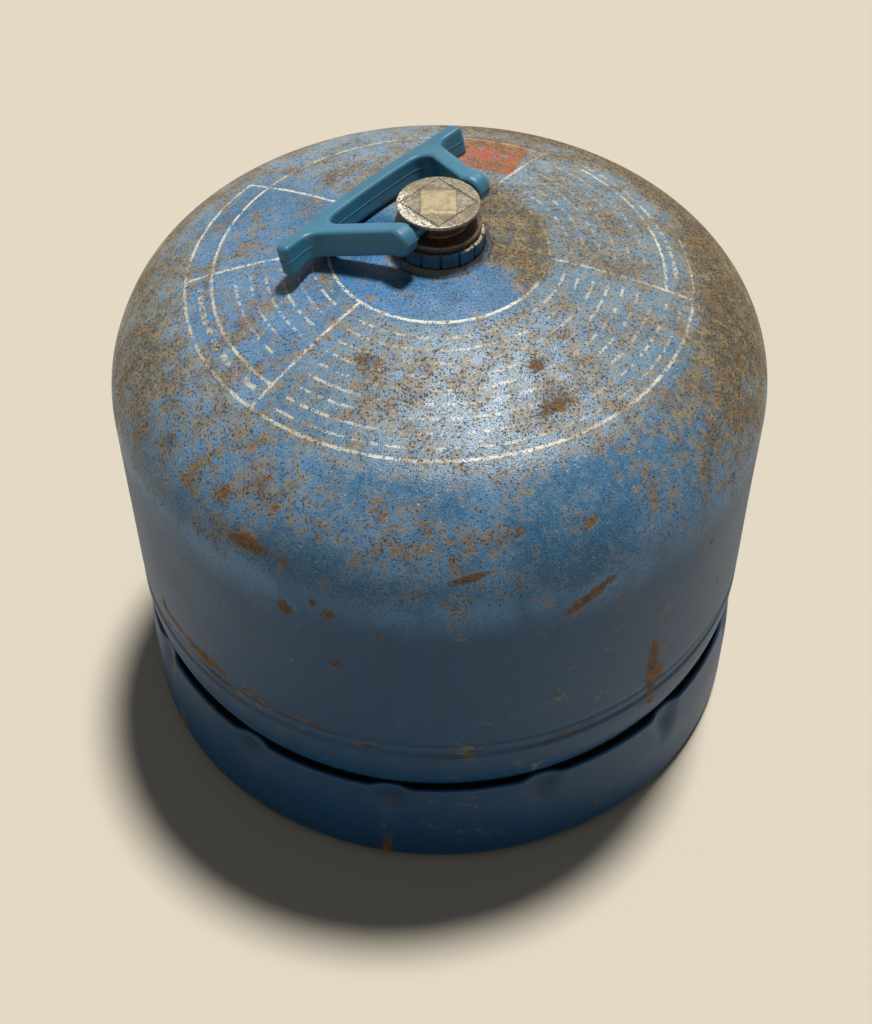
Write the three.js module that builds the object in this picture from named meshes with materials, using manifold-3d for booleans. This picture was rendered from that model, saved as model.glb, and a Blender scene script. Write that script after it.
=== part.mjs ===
// Squat refillable steel gas cylinder, closed by a screw plug with a folding carry handle.
// Millimetres, +Z up. The origin is on the floor, on the cylinder's axis.
import * as THREE from "three";
import { mergeVertices } from "three/addons/utils/BufferGeometryUtils.js";
import Module from "manifold-3d";

const wasm = await Module();
wasm.setup();

// Clearances
const FIT = 0.3; // between pieces that are welded, pressed or screwed together
const SEAT = 0.2; // between flat faces that rest on each other
const RUNNING = 0.5; // between pieces that move past each other

// Pressure vessel: two drawn shells with the same dished end, outside sizes
const BODY_DIAMETER = 203;
const SHELL_WALL = 2;
const CROWN_RADIUS = 212;
const KNUCKLE_RADIUS = 36;
const BASE_CLEARANCE = 5.8; // lowest point of the lower dish above the floor
const LOWER_SKIRT = 2.6; // straight wall of the lower shell
const UPPER_WALL = 61.7; // straight wall of the upper shell

// Girth joint: the lower rim is joggled inwards and laps inside the upper shell
const WELD_WIDTH = 6.4; // from the lower shoulder to the upper shell's edge
const WELD_SINK = 0.4; // how far the bead's edges lie under the body's surface
const JOGGLE_RISE = 5;
const JOGGLE_LAP = 9; // how far the rim goes up past the upper shell's edge

// Foot ring: a rolled strip, pressed in against the body by dimples along its top edge
const FOOT_OVERHANG = 0.5; // how far it stands proud of the body
const FOOT_DROP = 16.1; // from the start of the lower knuckle down to the ring's top edge
const FOOT_WALL = 1.5;
const FOOT_BEND = 4; // outside radius of the turned-in bottom edge
const FOOT_FLANGE = 9; // width of the turned-in bottom edge
const DIMPLE_COUNT = 13;
const DIMPLE_FLAT = 3; // width that bears on the body
const DIMPLE_WIDTH = 20;
const DIMPLE_DROP = 13; // height over which a dimple fades out
const DIMPLE_TURN = -9.23; // degrees from the front, of the first dimple

// Valve boss, with the female thread that takes the plug or an appliance
const THREAD_DIAMETER = 16;
const THREAD_PITCH = 1.5;
const THREAD_DEPTH = 12;
const COLLAR_DIAMETER = 27;
const COLLAR_HEIGHT = 5.6;
const COLLAR_CHAMFER = 0.6;
const FLUTE_COUNT = 15; // narrow grooves down the collar's side
const FLUTE_WIDTH = 0.8;
const FLUTE_DEPTH = 0.6;
const FLUTE_TURN = 2.5; // degrees from the front, of the first flute
const SPIGOT_WALL = 4; // of the boss below the collar, around the valve chamber
const BOSS_WELD_LEG = 2;

// Valve: a ball held up against a rubber seat by a spring
const SEAT_WEB = 2; // wall between the thread and the valve chamber
const PORT_DIAMETER = 6.4;
const SEAL_THICKNESS = 2.4;
const SEAL_BORE = 6;
const BALL_DIAMETER = 8;
const CHAMBER_DIAMETER = 13;
const SPRING_WIRE = 1;
const SPRING_DIAMETER = 5.8; // at the middle of the wire
const SPRING_TURNS = 5;
const SPRING_LENGTH = 10;
const RETAINER_THICKNESS = 2;
const RETAINER_BORE = 3.6;
const CRIMP_LIP = 1;

// Plug: a disc head, a neck that carries the handle, a flange on a gasket and a threaded stem
const HEAD_DIAMETER = 24.2;
const HEAD_THICKNESS = 1.2;
const NECK_DIAMETER = 16.4;
const NECK_HEIGHT = 5.5;
const FLANGE_DIAMETER = 25.4;
const FLANGE_THICKNESS = 1.2;
const STEM_LENGTH = 10;
const STEM_CHAMFER = 1;
const GASKET_THICKNESS = 0.8;
const PAD_SIDE = 10.5; // raised square on the head
const PAD_HEIGHT = 0.3;
const GROOVE_SIDE = 16.2; // square line cut around the pad, turned by an eighth
const GROOVE_WIDTH = 0.5;
const GROOVE_DEPTH = 0.4;

// Carry handle: one moulding, a bar on two splayed arms with a pin inside each foot
const HANDLE_TURN = 49.3; // degrees, of the hinge axis from +X
const HANDLE_LENGTH = 79;
const HANDLE_THICKNESS = 9;
const HANDLE_EDGE = 1.6; // rounding of its long edges
const BAR_WIDTH = 5.3;
const BAR_REACH = 28.5; // from the hinge axis to the middle of the bar
const BAR_BOW = 3.1; // how far the bar's ends curve back towards the hinge
const ARM_WIDTH = 5.4;
const ARM_SPREAD = 53.5; // between the arms' middles at the bar
const ARM_FILLET = 4;
const TIP_RADIUS = 2.3;
const PIN_DIAMETER = 4.6;
const PIN_REACH = 5; // how far a pin goes into the neck

// Facets
const BODY_FACETS = 60;
const FOOT_FACETS = 117;
const TURNED_FACETS = 36;
const KNUCKLE_STEPS = 5;
const CROWN_STEPS = 3;
const OUTLINE_STEP = 8; // longest straight stretch of the handle's outline
const ROUNDING_STEPS = 3;

const radians = THREE.MathUtils.degToRad;
const bodyRadius = BODY_DIAMETER / 2;

// Height of a dished end, from the start of its knuckle to its crown
const crownArm = CROWN_RADIUS - KNUCKLE_RADIUS;
const knuckleRing = bodyRadius - KNUCKLE_RADIUS;
const crownDrop = Math.sqrt(crownArm ** 2 - knuckleRing ** 2);
const dishHeight = CROWN_RADIUS - crownDrop;

// Heights above the floor
const lowerKnuckle = BASE_CLEARANCE + dishHeight;
const shoulder = lowerKnuckle + LOWER_SKIRT;
const upperEdge = shoulder + WELD_WIDTH;
const upperKnuckle = upperEdge + UPPER_WALL;
const apex = upperKnuckle + dishHeight;

const spigotRadius = CHAMBER_DIAMETER / 2 + SPIGOT_WALL;
const bossHole = spigotRadius + FIT;
const collarRadius = COLLAR_DIAMETER / 2;
const collarSeat = domeHeight(bossHole) + FIT;
const collarTop = collarSeat + COLLAR_HEIGHT;
const flangeSeat = collarTop + GASKET_THICKNESS + 2 * SEAT;
const flangeTop = flangeSeat + FLANGE_THICKNESS;
const headSeat = flangeTop + NECK_HEIGHT;
const headTop = headSeat + HEAD_THICKNESS;
const hingeHeight = (flangeTop + headSeat) / 2;

// The thread is drawn as a plain cylinder at its pitch diameter
const threadRadius = (THREAD_DIAMETER - 0.6495 * THREAD_PITCH) / 2;
const boreRadius = threadRadius + FIT / 2;
const stemRadius = threadRadius - FIT / 2;

const threadEnd = collarTop - THREAD_DEPTH;
const sealTop = threadEnd - SEAT_WEB - SEAT;
const sealBase = sealTop - SEAL_THICKNESS;
const ballRadius = BALL_DIAMETER / 2;
const ballHeight = sealBase - SEAT - Math.sqrt(ballRadius ** 2 - (SEAL_BORE / 2) ** 2);
const springRadius = SPRING_DIAMETER / 2;
const wireGap = ballRadius + SPRING_WIRE / 2 + FIT;
const springTop = ballHeight - Math.sqrt(wireGap ** 2 - springRadius ** 2);
const springBase = springTop - SPRING_LENGTH;
const retainerTop = springBase - SPRING_WIRE / 2 - SEAT;
const retainerBase = retainerTop - RETAINER_THICKNESS;

// Height of the upper dish's outer surface over a radius inside its crown
function domeHeight(radius) {
  return apex - CROWN_RADIUS + Math.sqrt(CROWN_RADIUS ** 2 - radius ** 2);
}

// Outer radius of the lower shell at a height inside its knuckle
function lowerRadius(height) {
  return knuckleRing + Math.sqrt(KNUCKLE_RADIUS ** 2 - (lowerKnuckle - height) ** 2);
}

function paint(color, roughness, metalness) {
  return new THREE.MeshStandardMaterial({ color, roughness, metalness });
}

const BLUE_PAINT = paint(0x4f7fb5, 0.45, 0.1);
const RUSTY_STEEL = paint(0x6a4a34, 0.75, 0.5);
const WORN_ZINC = paint(0xb9b09c, 0.4, 0.8);
const BRIGHT_STEEL = paint(0xc4c6c8, 0.25, 1);
const BLACK_RUBBER = paint(0x1d1c1b, 0.8, 0);
const TEAL_PLASTIC = paint(0x35748f, 0.4, 0);

// A closed profile of [radius, height] points turned about Z
function turned(profile, facets = TURNED_FACETS) {
  const points = profile.map(([radius, height]) => new THREE.Vector2(radius, height));
  return new THREE.LatheGeometry(points, facets).rotateX(Math.PI / 2);
}

// A profile of a ring, closed back to its first point
function ring(profile, facets) {
  return turned([...profile, profile[0]], facets);
}

function rectangleRing(inner, outer, base, top, facets) {
  return ring([[inner, base], [outer, base], [outer, top], [inner, top]], facets);
}

// A geometry as a solid that can be joined and cut
function solid(geometry) {
  const bare = geometry.clone();
  bare.deleteAttribute("normal");
  bare.deleteAttribute("uv");
  const merged = mergeVertices(bare, 1e-3);
  return new wasm.Manifold(
    new wasm.Mesh({
      numProp: 3,
      vertProperties: merged.attributes.position.array,
      triVerts: new Uint32Array(merged.index.array),
    }),
  );
}

// A solid back as a geometry
function geometryOf(made) {
  const { vertProperties, triVerts } = made.getMesh();
  return new THREE.BufferGeometry()
    .setAttribute("position", new THREE.BufferAttribute(vertProperties, 3))
    .setIndex(new THREE.BufferAttribute(triVerts, 1));
}

function piece(name, geometry, material) {
  const mesh = new THREE.Mesh(geometry, material);
  mesh.name = name;
  return mesh;
}

// Points of a dished end from its wall to a radius on its crown, a depth under its outer surface.
// Heights are measured from the start of the knuckle.
function dishPoints(depth, endRadius) {
  const points = [];
  const join = Math.asin(knuckleRing / crownArm);
  for (let i = 0; i <= KNUCKLE_STEPS; i++) {
    const lift = ((Math.PI / 2 - join) * i) / KNUCKLE_STEPS;
    const radius = KNUCKLE_RADIUS - depth;
    points.push([knuckleRing + radius * Math.cos(lift), radius * Math.sin(lift)]);
  }
  const crown = CROWN_RADIUS - depth;
  const end = Math.asin(endRadius / crown);
  for (let i = 1; i <= CROWN_STEPS; i++) {
    const polar = join + ((end - join) * i) / CROWN_STEPS;
    points.push([i === CROWN_STEPS ? endRadius : crown * Math.sin(polar), crown * Math.cos(polar) - crownDrop]);
  }
  return points;
}

function upperShell() {
  const raised = ([radius, height]) => [radius, upperKnuckle + height];
  const outside = dishPoints(0, bossHole).map(raised);
  const inside = dishPoints(SHELL_WALL, bossHole).map(raised).reverse();
  const edge = [[bodyRadius - SHELL_WALL, upperEdge], [bodyRadius, upperEdge]];
  return ring([...edge, ...outside, ...inside], BODY_FACETS);
}

// The joggle takes the rim in by a wall and a clearance, so that it laps inside the upper shell
const rimRadius = bodyRadius - SHELL_WALL - FIT;

function lowerShell() {
  const lowered = ([radius, height]) => [radius, lowerKnuckle - height];
  const outside = dishPoints(0, 0).map(lowered).reverse();
  const inside = dishPoints(SHELL_WALL, 0).map(lowered);
  const rimTop = upperEdge + JOGGLE_LAP;
  const rim = [
    [bodyRadius, shoulder],
    [rimRadius, shoulder + JOGGLE_RISE],
    [rimRadius, rimTop],
    [rimRadius - SHELL_WALL, rimTop],
    [rimRadius - SHELL_WALL, shoulder + JOGGLE_RISE],
    [bodyRadius - SHELL_WALL, shoulder],
  ];
  return turned([...outside, ...rim, ...inside], BODY_FACETS);
}

// A bead that fills the groove between the joggle's slope and the upper shell's edge
function girthWeld() {
  const inner = rimRadius + FIT;
  const outer = bodyRadius - WELD_SINK;
  const slope = JOGGLE_RISE / (bodyRadius - rimRadius);
  const stand = FIT * Math.hypot(1, slope);
  const onSlope = (radius) => shoulder + stand + slope * (bodyRadius - radius);
  const top = upperEdge - FIT;
  const crest = [bodyRadius, (onSlope(outer) + top) / 2];
  return ring([[inner, onSlope(inner)], [outer, onSlope(outer)], crest, [outer, top], [inner, top]], BODY_FACETS);
}

// A strip with a turned-in bottom edge, then each point pushed in by the nearest dimple.
// A dimple bears flat on the body, and fades out as a squared cosine to its sides and downwards.
function footRing() {
  const outer = bodyRadius + FOOT_OVERHANG;
  const inner = outer - FOOT_WALL;
  const top = lowerKnuckle - FOOT_DROP;
  const levels = [0, 1, 2].map((step) => top - (DIMPLE_DROP * step) / 2);
  const corner = FOOT_BEND * (1 - Math.SQRT1_2);
  const profile = [
    ...levels.map((height) => [inner, height]),
    [inner, FOOT_BEND],
    [outer - FOOT_BEND, FOOT_WALL],
    [outer - FOOT_FLANGE, FOOT_WALL],
    [outer - FOOT_FLANGE, 0],
    [outer - FOOT_BEND, 0],
    [outer - corner, corner],
    [outer, FOOT_BEND],
    ...levels.map((height) => [outer, height]).reverse(),
  ];
  const strip = ring(profile, FOOT_FACETS);

  const depth = inner - lowerRadius(top) - FIT;
  const flat = DIMPLE_FLAT / 2;
  const reach = DIMPLE_WIDTH / 2;
  const spacing = (2 * Math.PI) / DIMPLE_COUNT;
  const first = radians(DIMPLE_TURN - 90);
  const fade = (share) => Math.cos((Math.PI / 2) * THREE.MathUtils.clamp(share, 0, 1)) ** 2;
  const place = strip.getAttribute("position");
  for (let i = 0; i < place.count; i++) {
    const [x, y, z] = [place.getX(i), place.getY(i), place.getZ(i)];
    const turn = Math.atan2(y, x) - first;
    const away = Math.abs(turn - spacing * Math.round(turn / spacing)) * outer;
    const push = depth * fade((away - flat) / (reach - flat)) * fade((top - z) / DIMPLE_DROP);
    const shrink = 1 - push / Math.hypot(x, y);
    place.setXY(i, x * shrink, y * shrink);
  }
  return strip;
}

// A turned collar with a spigot through the dome: thread above, valve chamber below
function valveBoss() {
  const chamber = CHAMBER_DIAMETER / 2;
  const crimp = retainerBase - SEAT;
  const end = crimp - CRIMP_LIP;
  const body = solid(
    ring([
      [boreRadius, collarTop],
      [boreRadius, threadEnd],
      [PORT_DIAMETER / 2, threadEnd],
      [PORT_DIAMETER / 2, threadEnd - SEAT_WEB],
      [chamber, threadEnd - SEAT_WEB],
      [chamber, crimp],
      [chamber - CRIMP_LIP, crimp],
      [chamber - CRIMP_LIP, end],
      [spigotRadius - CRIMP_LIP, end],
      [spigotRadius, end + CRIMP_LIP],
      [spigotRadius, collarSeat],
      [collarRadius, collarSeat],
      [collarRadius, collarTop - COLLAR_CHAMFER],
      [collarRadius - COLLAR_CHAMFER, collarTop],
    ]),
  );
  let fluted = body;
  for (let i = 0; i < FLUTE_COUNT; i++) {
    const cutter = new THREE.BoxGeometry(2 * FLUTE_DEPTH, FLUTE_WIDTH, 4 * COLLAR_HEIGHT);
    cutter.translate(collarRadius, 0, collarTop);
    cutter.rotateZ(radians(FLUTE_TURN - 90) + (2 * Math.PI * i) / FLUTE_COUNT);
    fluted = fluted.subtract(solid(cutter));
  }
  return geometryOf(fluted);
}

// A fillet of weld metal between the collar's foot and the dome
function bossWeld() {
  const inner = collarRadius + FIT;
  const outer = inner + BOSS_WELD_LEG;
  const toe = BOSS_WELD_LEG / 4;
  return ring([
    [inner, domeHeight(inner) + FIT],
    [outer, domeHeight(outer) + FIT],
    [outer, domeHeight(outer) + FIT + toe],
    [inner, domeHeight(inner) + FIT + BOSS_WELD_LEG],
  ]);
}

function valveSpring() {
  class Helix extends THREE.Curve {
    getPoint(share, target = new THREE.Vector3()) {
      const turn = 2 * Math.PI * SPRING_TURNS * share;
      const height = springBase + SPRING_LENGTH * share;
      return target.set(springRadius * Math.cos(turn), springRadius * Math.sin(turn), height);
    }
  }
  const wire = new THREE.Shape().absarc(0, 0, SPRING_WIRE / 2, 0, 2 * Math.PI);
  const steps = 10 * SPRING_TURNS;
  return new THREE.ExtrudeGeometry(wire, { extrudePath: new Helix(), steps, curveSegments: 4 });
}

function squareOutline(side) {
  const half = side / 2;
  return [[-half, -half], [half, -half], [half, half], [-half, half]].map(([x, y]) => new THREE.Vector2(x, y));
}

// A turned plug, cross-drilled for the handle's pins, with a square pad and a square line on its head
function screwPlug() {
  const head = HEAD_DIAMETER / 2;
  const flange = FLANGE_DIAMETER / 2;
  const neck = NECK_DIAMETER / 2;
  const stemEnd = flangeSeat - STEM_LENGTH;
  const body = solid(
    turned([
      [0, stemEnd],
      [stemRadius - STEM_CHAMFER, stemEnd],
      [stemRadius, stemEnd + STEM_CHAMFER],
      [stemRadius, flangeSeat],
      [flange, flangeSeat],
      [flange, flangeTop],
      [neck, flangeTop],
      [neck, headSeat],
      [head, headSeat],
      [head, headTop],
      [0, headTop],
    ]),
  );
  const drill = new THREE.CylinderGeometry(PIN_DIAMETER / 2 + FIT, PIN_DIAMETER / 2 + FIT, 2 * neck + 1, 24);
  drill.rotateZ(Math.PI / 2).rotateZ(radians(HANDLE_TURN)).translate(0, 0, hingeHeight);

  const line = new THREE.Shape(squareOutline(GROOVE_SIDE));
  line.holes.push(new THREE.Path(squareOutline(GROOVE_SIDE - 2 * GROOVE_WIDTH)));
  const groove = new THREE.ExtrudeGeometry(line, { depth: 2 * GROOVE_DEPTH, bevelEnabled: false });
  groove.rotateZ(Math.PI / 4).translate(0, 0, headTop - GROOVE_DEPTH);

  const pad = new THREE.BoxGeometry(PAD_SIDE, PAD_SIDE, PAD_HEIGHT + HEAD_THICKNESS);
  pad.translate(0, 0, headTop + (PAD_HEIGHT - HEAD_THICKNESS) / 2);
  return geometryOf(body.subtract(solid(drill)).subtract(solid(groove)).add(solid(pad)));
}

// An outline with each corner [x, y, radius] rounded off and its long sides in short steps
function roundedOutline(corners) {
  const count = corners.length;
  const points = corners.flatMap(([x, y, radius], i) => {
    const corner = new THREE.Vector2(x, y);
    if (radius === 0) return [corner];
    const [before, after] = [corners[(i + count - 1) % count], corners[(i + 1) % count]].map(
      ([nextX, nextY]) => new THREE.Vector2(nextX, nextY).sub(corner).normalize(),
    );
    const half = before.angleTo(after) / 2;
    const start = corner.clone().addScaledVector(before, radius / Math.tan(half));
    const middle = before.clone().add(after).normalize();
    const centre = corner.clone().addScaledVector(middle, radius / Math.sin(half));
    const turn = Math.sign(after.cross(before)) * (Math.PI - 2 * half);
    return Array.from({ length: ROUNDING_STEPS + 1 }, (_, step) =>
      start.clone().rotateAround(centre, (turn * step) / ROUNDING_STEPS),
    );
  });
  return points.flatMap((point, i) => {
    const next = points[(i + 1) % points.length];
    const steps = Math.ceil(point.distanceTo(next) / OUTLINE_STEP);
    return Array.from({ length: steps }, (_, step) => point.clone().lerp(next, step / steps));
  });
}

// The angle below level at which the bar's lower rounded edge comes to lie just over the dome:
// the edge's centre is then a crown radius, a rounding and a clearance from the crown's centre.
function restingAngle() {
  const along = BAR_REACH + BAR_WIDTH / 2 - HANDLE_EDGE;
  const below = HANDLE_THICKNESS / 2 - HANDLE_EDGE;
  const rise = hingeHeight - (apex - CROWN_RADIUS);
  const reach = CROWN_RADIUS + HANDLE_EDGE + FIT;
  const drop = (rise ** 2 + along ** 2 + below ** 2 - reach ** 2) / (2 * rise);
  return Math.asin(drop / Math.hypot(along, below)) - Math.atan2(below, along);
}

// The handle in its own plane: X along the hinge axis, Y from the hinge to the bar
function carryHandle() {
  const barInside = BAR_REACH - BAR_WIDTH / 2;
  const barOutside = BAR_REACH + BAR_WIDTH / 2;
  const footInside = Math.max(HEAD_DIAMETER, FLANGE_DIAMETER) / 2 + RUNNING;
  const barMiddle = ARM_SPREAD / 2;
  const footTop = HANDLE_EDGE;
  const splay = Math.atan2(barMiddle - footInside - ARM_WIDTH / 2, BAR_REACH - footTop);
  const armAcross = ARM_WIDTH / Math.cos(splay);
  const footOutside = footInside + armAcross;
  const splayed = (x) => x + (barInside - footTop) * Math.tan(splay);
  const tip = HANDLE_LENGTH / 2;
  const half = [
    [splayed(footInside), barInside, ARM_FILLET],
    [footInside, footTop, 0],
    [footInside, -HANDLE_EDGE, 0],
    [footOutside, -HANDLE_EDGE, 0],
    [footOutside, footTop, 0],
    [splayed(footOutside), barInside, ARM_FILLET],
    [tip, barInside, TIP_RADIUS],
    [tip, barOutside, TIP_RADIUS],
  ];
  const otherHalf = half.map(([x, y, radius]) => [-x, y, radius]).reverse();

  // The bar bows: a point moves towards the hinge by the square of its distance from the middle
  const bowed = roundedOutline([...half, ...otherHalf]).map(({ x, y }) => {
    const share = THREE.MathUtils.clamp(y / BAR_REACH, 0, 1);
    return new THREE.Vector2(x, y - BAR_BOW * share * (x / tip) ** 2);
  });
  const slab = new THREE.ExtrudeGeometry(new THREE.Shape(bowed), {
    depth: HANDLE_THICKNESS - 2 * HANDLE_EDGE,
    bevelThickness: HANDLE_EDGE,
    bevelSize: HANDLE_EDGE,
    bevelOffset: -HANDLE_EDGE,
    bevelSegments: 3,
  });
  slab.translate(0, 0, HANDLE_EDGE - HANDLE_THICKNESS / 2);

  const foot = HANDLE_THICKNESS / 2;
  const pin = PIN_DIAMETER / 2;
  const pinEnd = NECK_DIAMETER / 2 - PIN_REACH;
  const knuckle = [
    [0, pinEnd],
    [pin, pinEnd],
    [pin, footInside],
    [foot, footInside],
    [foot, footOutside - HANDLE_EDGE],
    [foot - HANDLE_EDGE * (1 - Math.SQRT1_2), footOutside - HANDLE_EDGE * (1 - Math.SQRT1_2)],
    [foot - HANDLE_EDGE, footOutside],
    [0, footOutside],
  ];
  let handle = solid(slab);
  for (const side of [1, -1]) {
    const end = turned(knuckle, 24).rotateY((side * Math.PI) / 2);
    handle = handle.add(solid(end));
  }
  return geometryOf(handle);
}

const part = new THREE.Group();
part.add(
  piece("upper_shell", upperShell(), BLUE_PAINT),
  piece("lower_shell", lowerShell(), BLUE_PAINT),
  piece("girth_weld", girthWeld(), BLUE_PAINT),
  piece("foot_ring", footRing(), BLUE_PAINT),
  piece("valve_boss", valveBoss(), BLUE_PAINT),
  piece("boss_weld", bossWeld(), RUSTY_STEEL),
);

const chamberFit = CHAMBER_DIAMETER / 2 - FIT;
const ball = piece("valve_ball", new THREE.SphereGeometry(ballRadius, 16, 8), BRIGHT_STEEL);
ball.rotation.x = Math.PI / 2;
ball.position.z = ballHeight;
part.add(
  piece("valve_seal", rectangleRing(SEAL_BORE / 2, chamberFit, sealBase, sealTop), BLACK_RUBBER),
  ball,
  piece("valve_spring", valveSpring(), BRIGHT_STEEL),
  piece(
    "spring_retainer",
    rectangleRing(RETAINER_BORE / 2, chamberFit, retainerBase, retainerTop),
    BRIGHT_STEEL,
  ),
);

const gasketOuter = Math.min(FLANGE_DIAMETER, COLLAR_DIAMETER - 2 * COLLAR_CHAMFER) / 2 - FIT;
const gasketBase = collarTop + SEAT;
part.add(
  piece(
    "plug_gasket",
    rectangleRing(stemRadius + FIT, gasketOuter, gasketBase, gasketBase + GASKET_THICKNESS),
    BLACK_RUBBER,
  ),
  piece("screw_plug", screwPlug(), WORN_ZINC),
);

const handleFrame = new THREE.Group();
handleFrame.position.z = hingeHeight;
handleFrame.rotation.z = radians(HANDLE_TURN);
const handle = piece("carry_handle", carryHandle(), TEAL_PLASTIC);
handle.rotation.x = -restingAngle();
handleFrame.add(handle);
part.add(handleFrame);

export default part;
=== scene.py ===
"""A squat, rusty camping gas cylinder: blue painted shells, dimpled foot ring, screw plug and handle.

Lengths are in millimetres until a mesh is made. Azimuth is measured from the front, -Y, towards +X.
"""
import math

import bmesh
import bpy
import numpy as np
from mathutils import Matrix, Vector


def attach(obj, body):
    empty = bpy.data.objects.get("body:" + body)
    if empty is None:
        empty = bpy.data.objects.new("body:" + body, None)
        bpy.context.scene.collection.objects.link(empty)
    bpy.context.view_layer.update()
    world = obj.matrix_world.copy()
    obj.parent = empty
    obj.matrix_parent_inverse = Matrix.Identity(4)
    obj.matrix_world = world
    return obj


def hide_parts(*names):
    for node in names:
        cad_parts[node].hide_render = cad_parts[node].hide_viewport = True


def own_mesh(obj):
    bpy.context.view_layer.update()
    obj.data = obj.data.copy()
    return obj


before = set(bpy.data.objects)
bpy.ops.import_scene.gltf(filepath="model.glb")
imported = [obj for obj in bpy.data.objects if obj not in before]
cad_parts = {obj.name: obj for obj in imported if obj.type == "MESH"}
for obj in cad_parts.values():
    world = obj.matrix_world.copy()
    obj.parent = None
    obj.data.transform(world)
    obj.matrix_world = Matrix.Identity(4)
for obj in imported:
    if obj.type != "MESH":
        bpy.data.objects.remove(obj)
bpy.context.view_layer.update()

MM = 0.001

# Vessel
BODY = 101.5
WALL = 2.0
CROWN = 212.0
KNUCKLE = 36.0
LOWER_KNUCKLE = 54.442
SHOULDER = 57.042
UPPER_EDGE = 63.442
UPPER_KNUCKLE = 125.142
APEX = 173.784
JOGGLE_RISE = 5.0
JOGGLE_LAP = 9.0
RIM = BODY - WALL - 0.3
KNUCKLE_RING = BODY - KNUCKLE
CROWN_ARM = CROWN - KNUCKLE
CROWN_JOIN = math.asin(KNUCKLE_RING / CROWN_ARM)
CROWN_DROP = math.sqrt(CROWN_ARM ** 2 - KNUCKLE_RING ** 2)
BOSS_HOLE = 10.8

# Welds
BEAD_BASE = 58.75
BEAD_TOP = UPPER_EDGE - 0.3
BEAD_ROOT = 62.6
BEAD_SCALE = 2.6
FILLET_SCALE = 1.9
FILLET_RISE = 1.6

# Foot ring
FOOT = 101.95
FOOT_WALL = 1.5
FOOT_TOP = 38.342
FOOT_BEND = 4.0
FOOT_FLANGE = 9.0
DIMPLES = 13
DIMPLE_FLAT = 3.0
DIMPLE_WIDTH = 17.0
DIMPLE_DROP = 13.0
DIMPLE_TURN = -9.23
CREASE_HEIGHT = 30.0
CREASE_WIDTH = 13.0
CREASE_DEPTH = 1.5
RIM_LEAN = 0.8

# Boss, valve and plug
COLLAR = 13.5
COLLAR_SEAT = 173.809
COLLAR_TOP = 179.409
FLUTES = 15
FLUTE_TURN = 2.5
FLUTE_DEPTH = 0.55
BORE = 7.663
STEM = 7.363
PITCH = 1.5
THREAD_DEPTH = 0.3
THREAD_END = 167.409
CHAMBER = 6.5
IN_CHAMBER = CHAMBER - 0.3
SPIGOT = 10.5
PORT = 3.2
SEAL_BASE = 162.809
SEAL_TOP = 165.209
SEAL_HOLE = 3.0
BALL = 4.0
BALL_HEIGHT = 159.963
SPRING_TOP = 156.14
SPRING_BASE = 146.14
SPRING_TURNS = 5
COIL = 2.9
WIRE = 0.5
RETAINER_BASE = 143.44
RETAINER_TOP = 145.44
RETAINER_HOLE = 1.8
BOSS_END = 142.24
GASKET = 12.4
GASKET_HOLE = STEM + 0.3
GASKET_BASE = 179.609
GASKET_TOP = 180.409
FLANGE = 12.7
FLANGE_SEAT = 180.609
FLANGE_TOP = 181.809
NECK = 8.2
HEAD = 12.1
HEAD_SEAT = 187.309
HEAD_TOP = 188.509
STEM_END = 170.609
PAD_HALF = 5.5
PAD_RISE = 0.26
LINE_HALF = 7.85
LINE_DEPTH = 0.3

# Handle, in its own plane: X along the hinge, Y from the hinge to the bar
HINGE = 184.559
HANDLE_TURN = math.radians(49.3)
HANDLE_TILT = math.radians(15.472)
HANDLE_TIP = 39.5
HANDLE_HALF = 4.5
HANDLE_EDGE = 1.4
HANDLE_END = 2.2
BAR_REACH = 28.5
BAR_WIDTH = 5.3
BAR_BOW = 3.1
ARM_WIDTH = 5.4
ARM_SPREAD = 53.5
FOOT_INSIDE = 13.2
PIN = 2.3
PIN_END = 3.2
PARTING_RISE = 0.1
PARTING_HALF = 0.2


def smooth(value, low, high):
    """0 up to low, 1 from high, and a smooth S between them."""
    share = np.clip((value - low) / (high - low), 0, 1)
    return share * share * (3 - 2 * share)


def rounded(corners, closed=True, steps=6):
    """A path through corners (a, b, radius), each rounded by an arc that touches both its sides."""
    points = np.array([corner[:2] for corner in corners], float)
    path = []
    for i, (point, corner) in enumerate(zip(points, corners)):
        radius = corner[2]
        if radius == 0 or (not closed and i in (0, len(points) - 1)):
            path.append(point[None])
            continue
        before = points[i - 1] - point
        after = points[(i + 1) % len(points)] - point
        before, after = before / np.linalg.norm(before), after / np.linalg.norm(after)
        half = math.acos(np.clip(before @ after, -1, 1)) / 2
        start = point + before * radius / math.tan(half)
        middle = (before + after) / np.linalg.norm(before + after)
        centre = point + middle * radius / math.sin(half)
        side = np.sign(after[0] * before[1] - after[1] * before[0])
        turn = side * (math.pi - 2 * half) * np.linspace(0, 1, steps + 1)
        arm = start - centre
        path.append(centre + np.stack([arm[0] * np.cos(turn) - arm[1] * np.sin(turn),
                                       arm[0] * np.sin(turn) + arm[1] * np.cos(turn)], 1))
    return np.concatenate(path)


def stepped(path, step, closed=True):
    """The same path, each straight stretch divided evenly into pieces no longer than step."""
    ends = np.roll(path, -1, 0) if closed else path[1:]
    starts = path if closed else path[:-1]
    counts = np.maximum(1, np.ceil(np.linalg.norm(ends - starts, axis=1) / step).astype(int))
    index = np.repeat(np.arange(len(starts)), counts)
    first = np.concatenate([[0], np.cumsum(counts)[:-1]])
    share = ((np.arange(counts.sum()) - first[index]) / counts[index])[:, None]
    dense = starts[index] + share * (ends - starts)[index]
    return dense if closed else np.concatenate([dense, path[-1:]])


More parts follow.
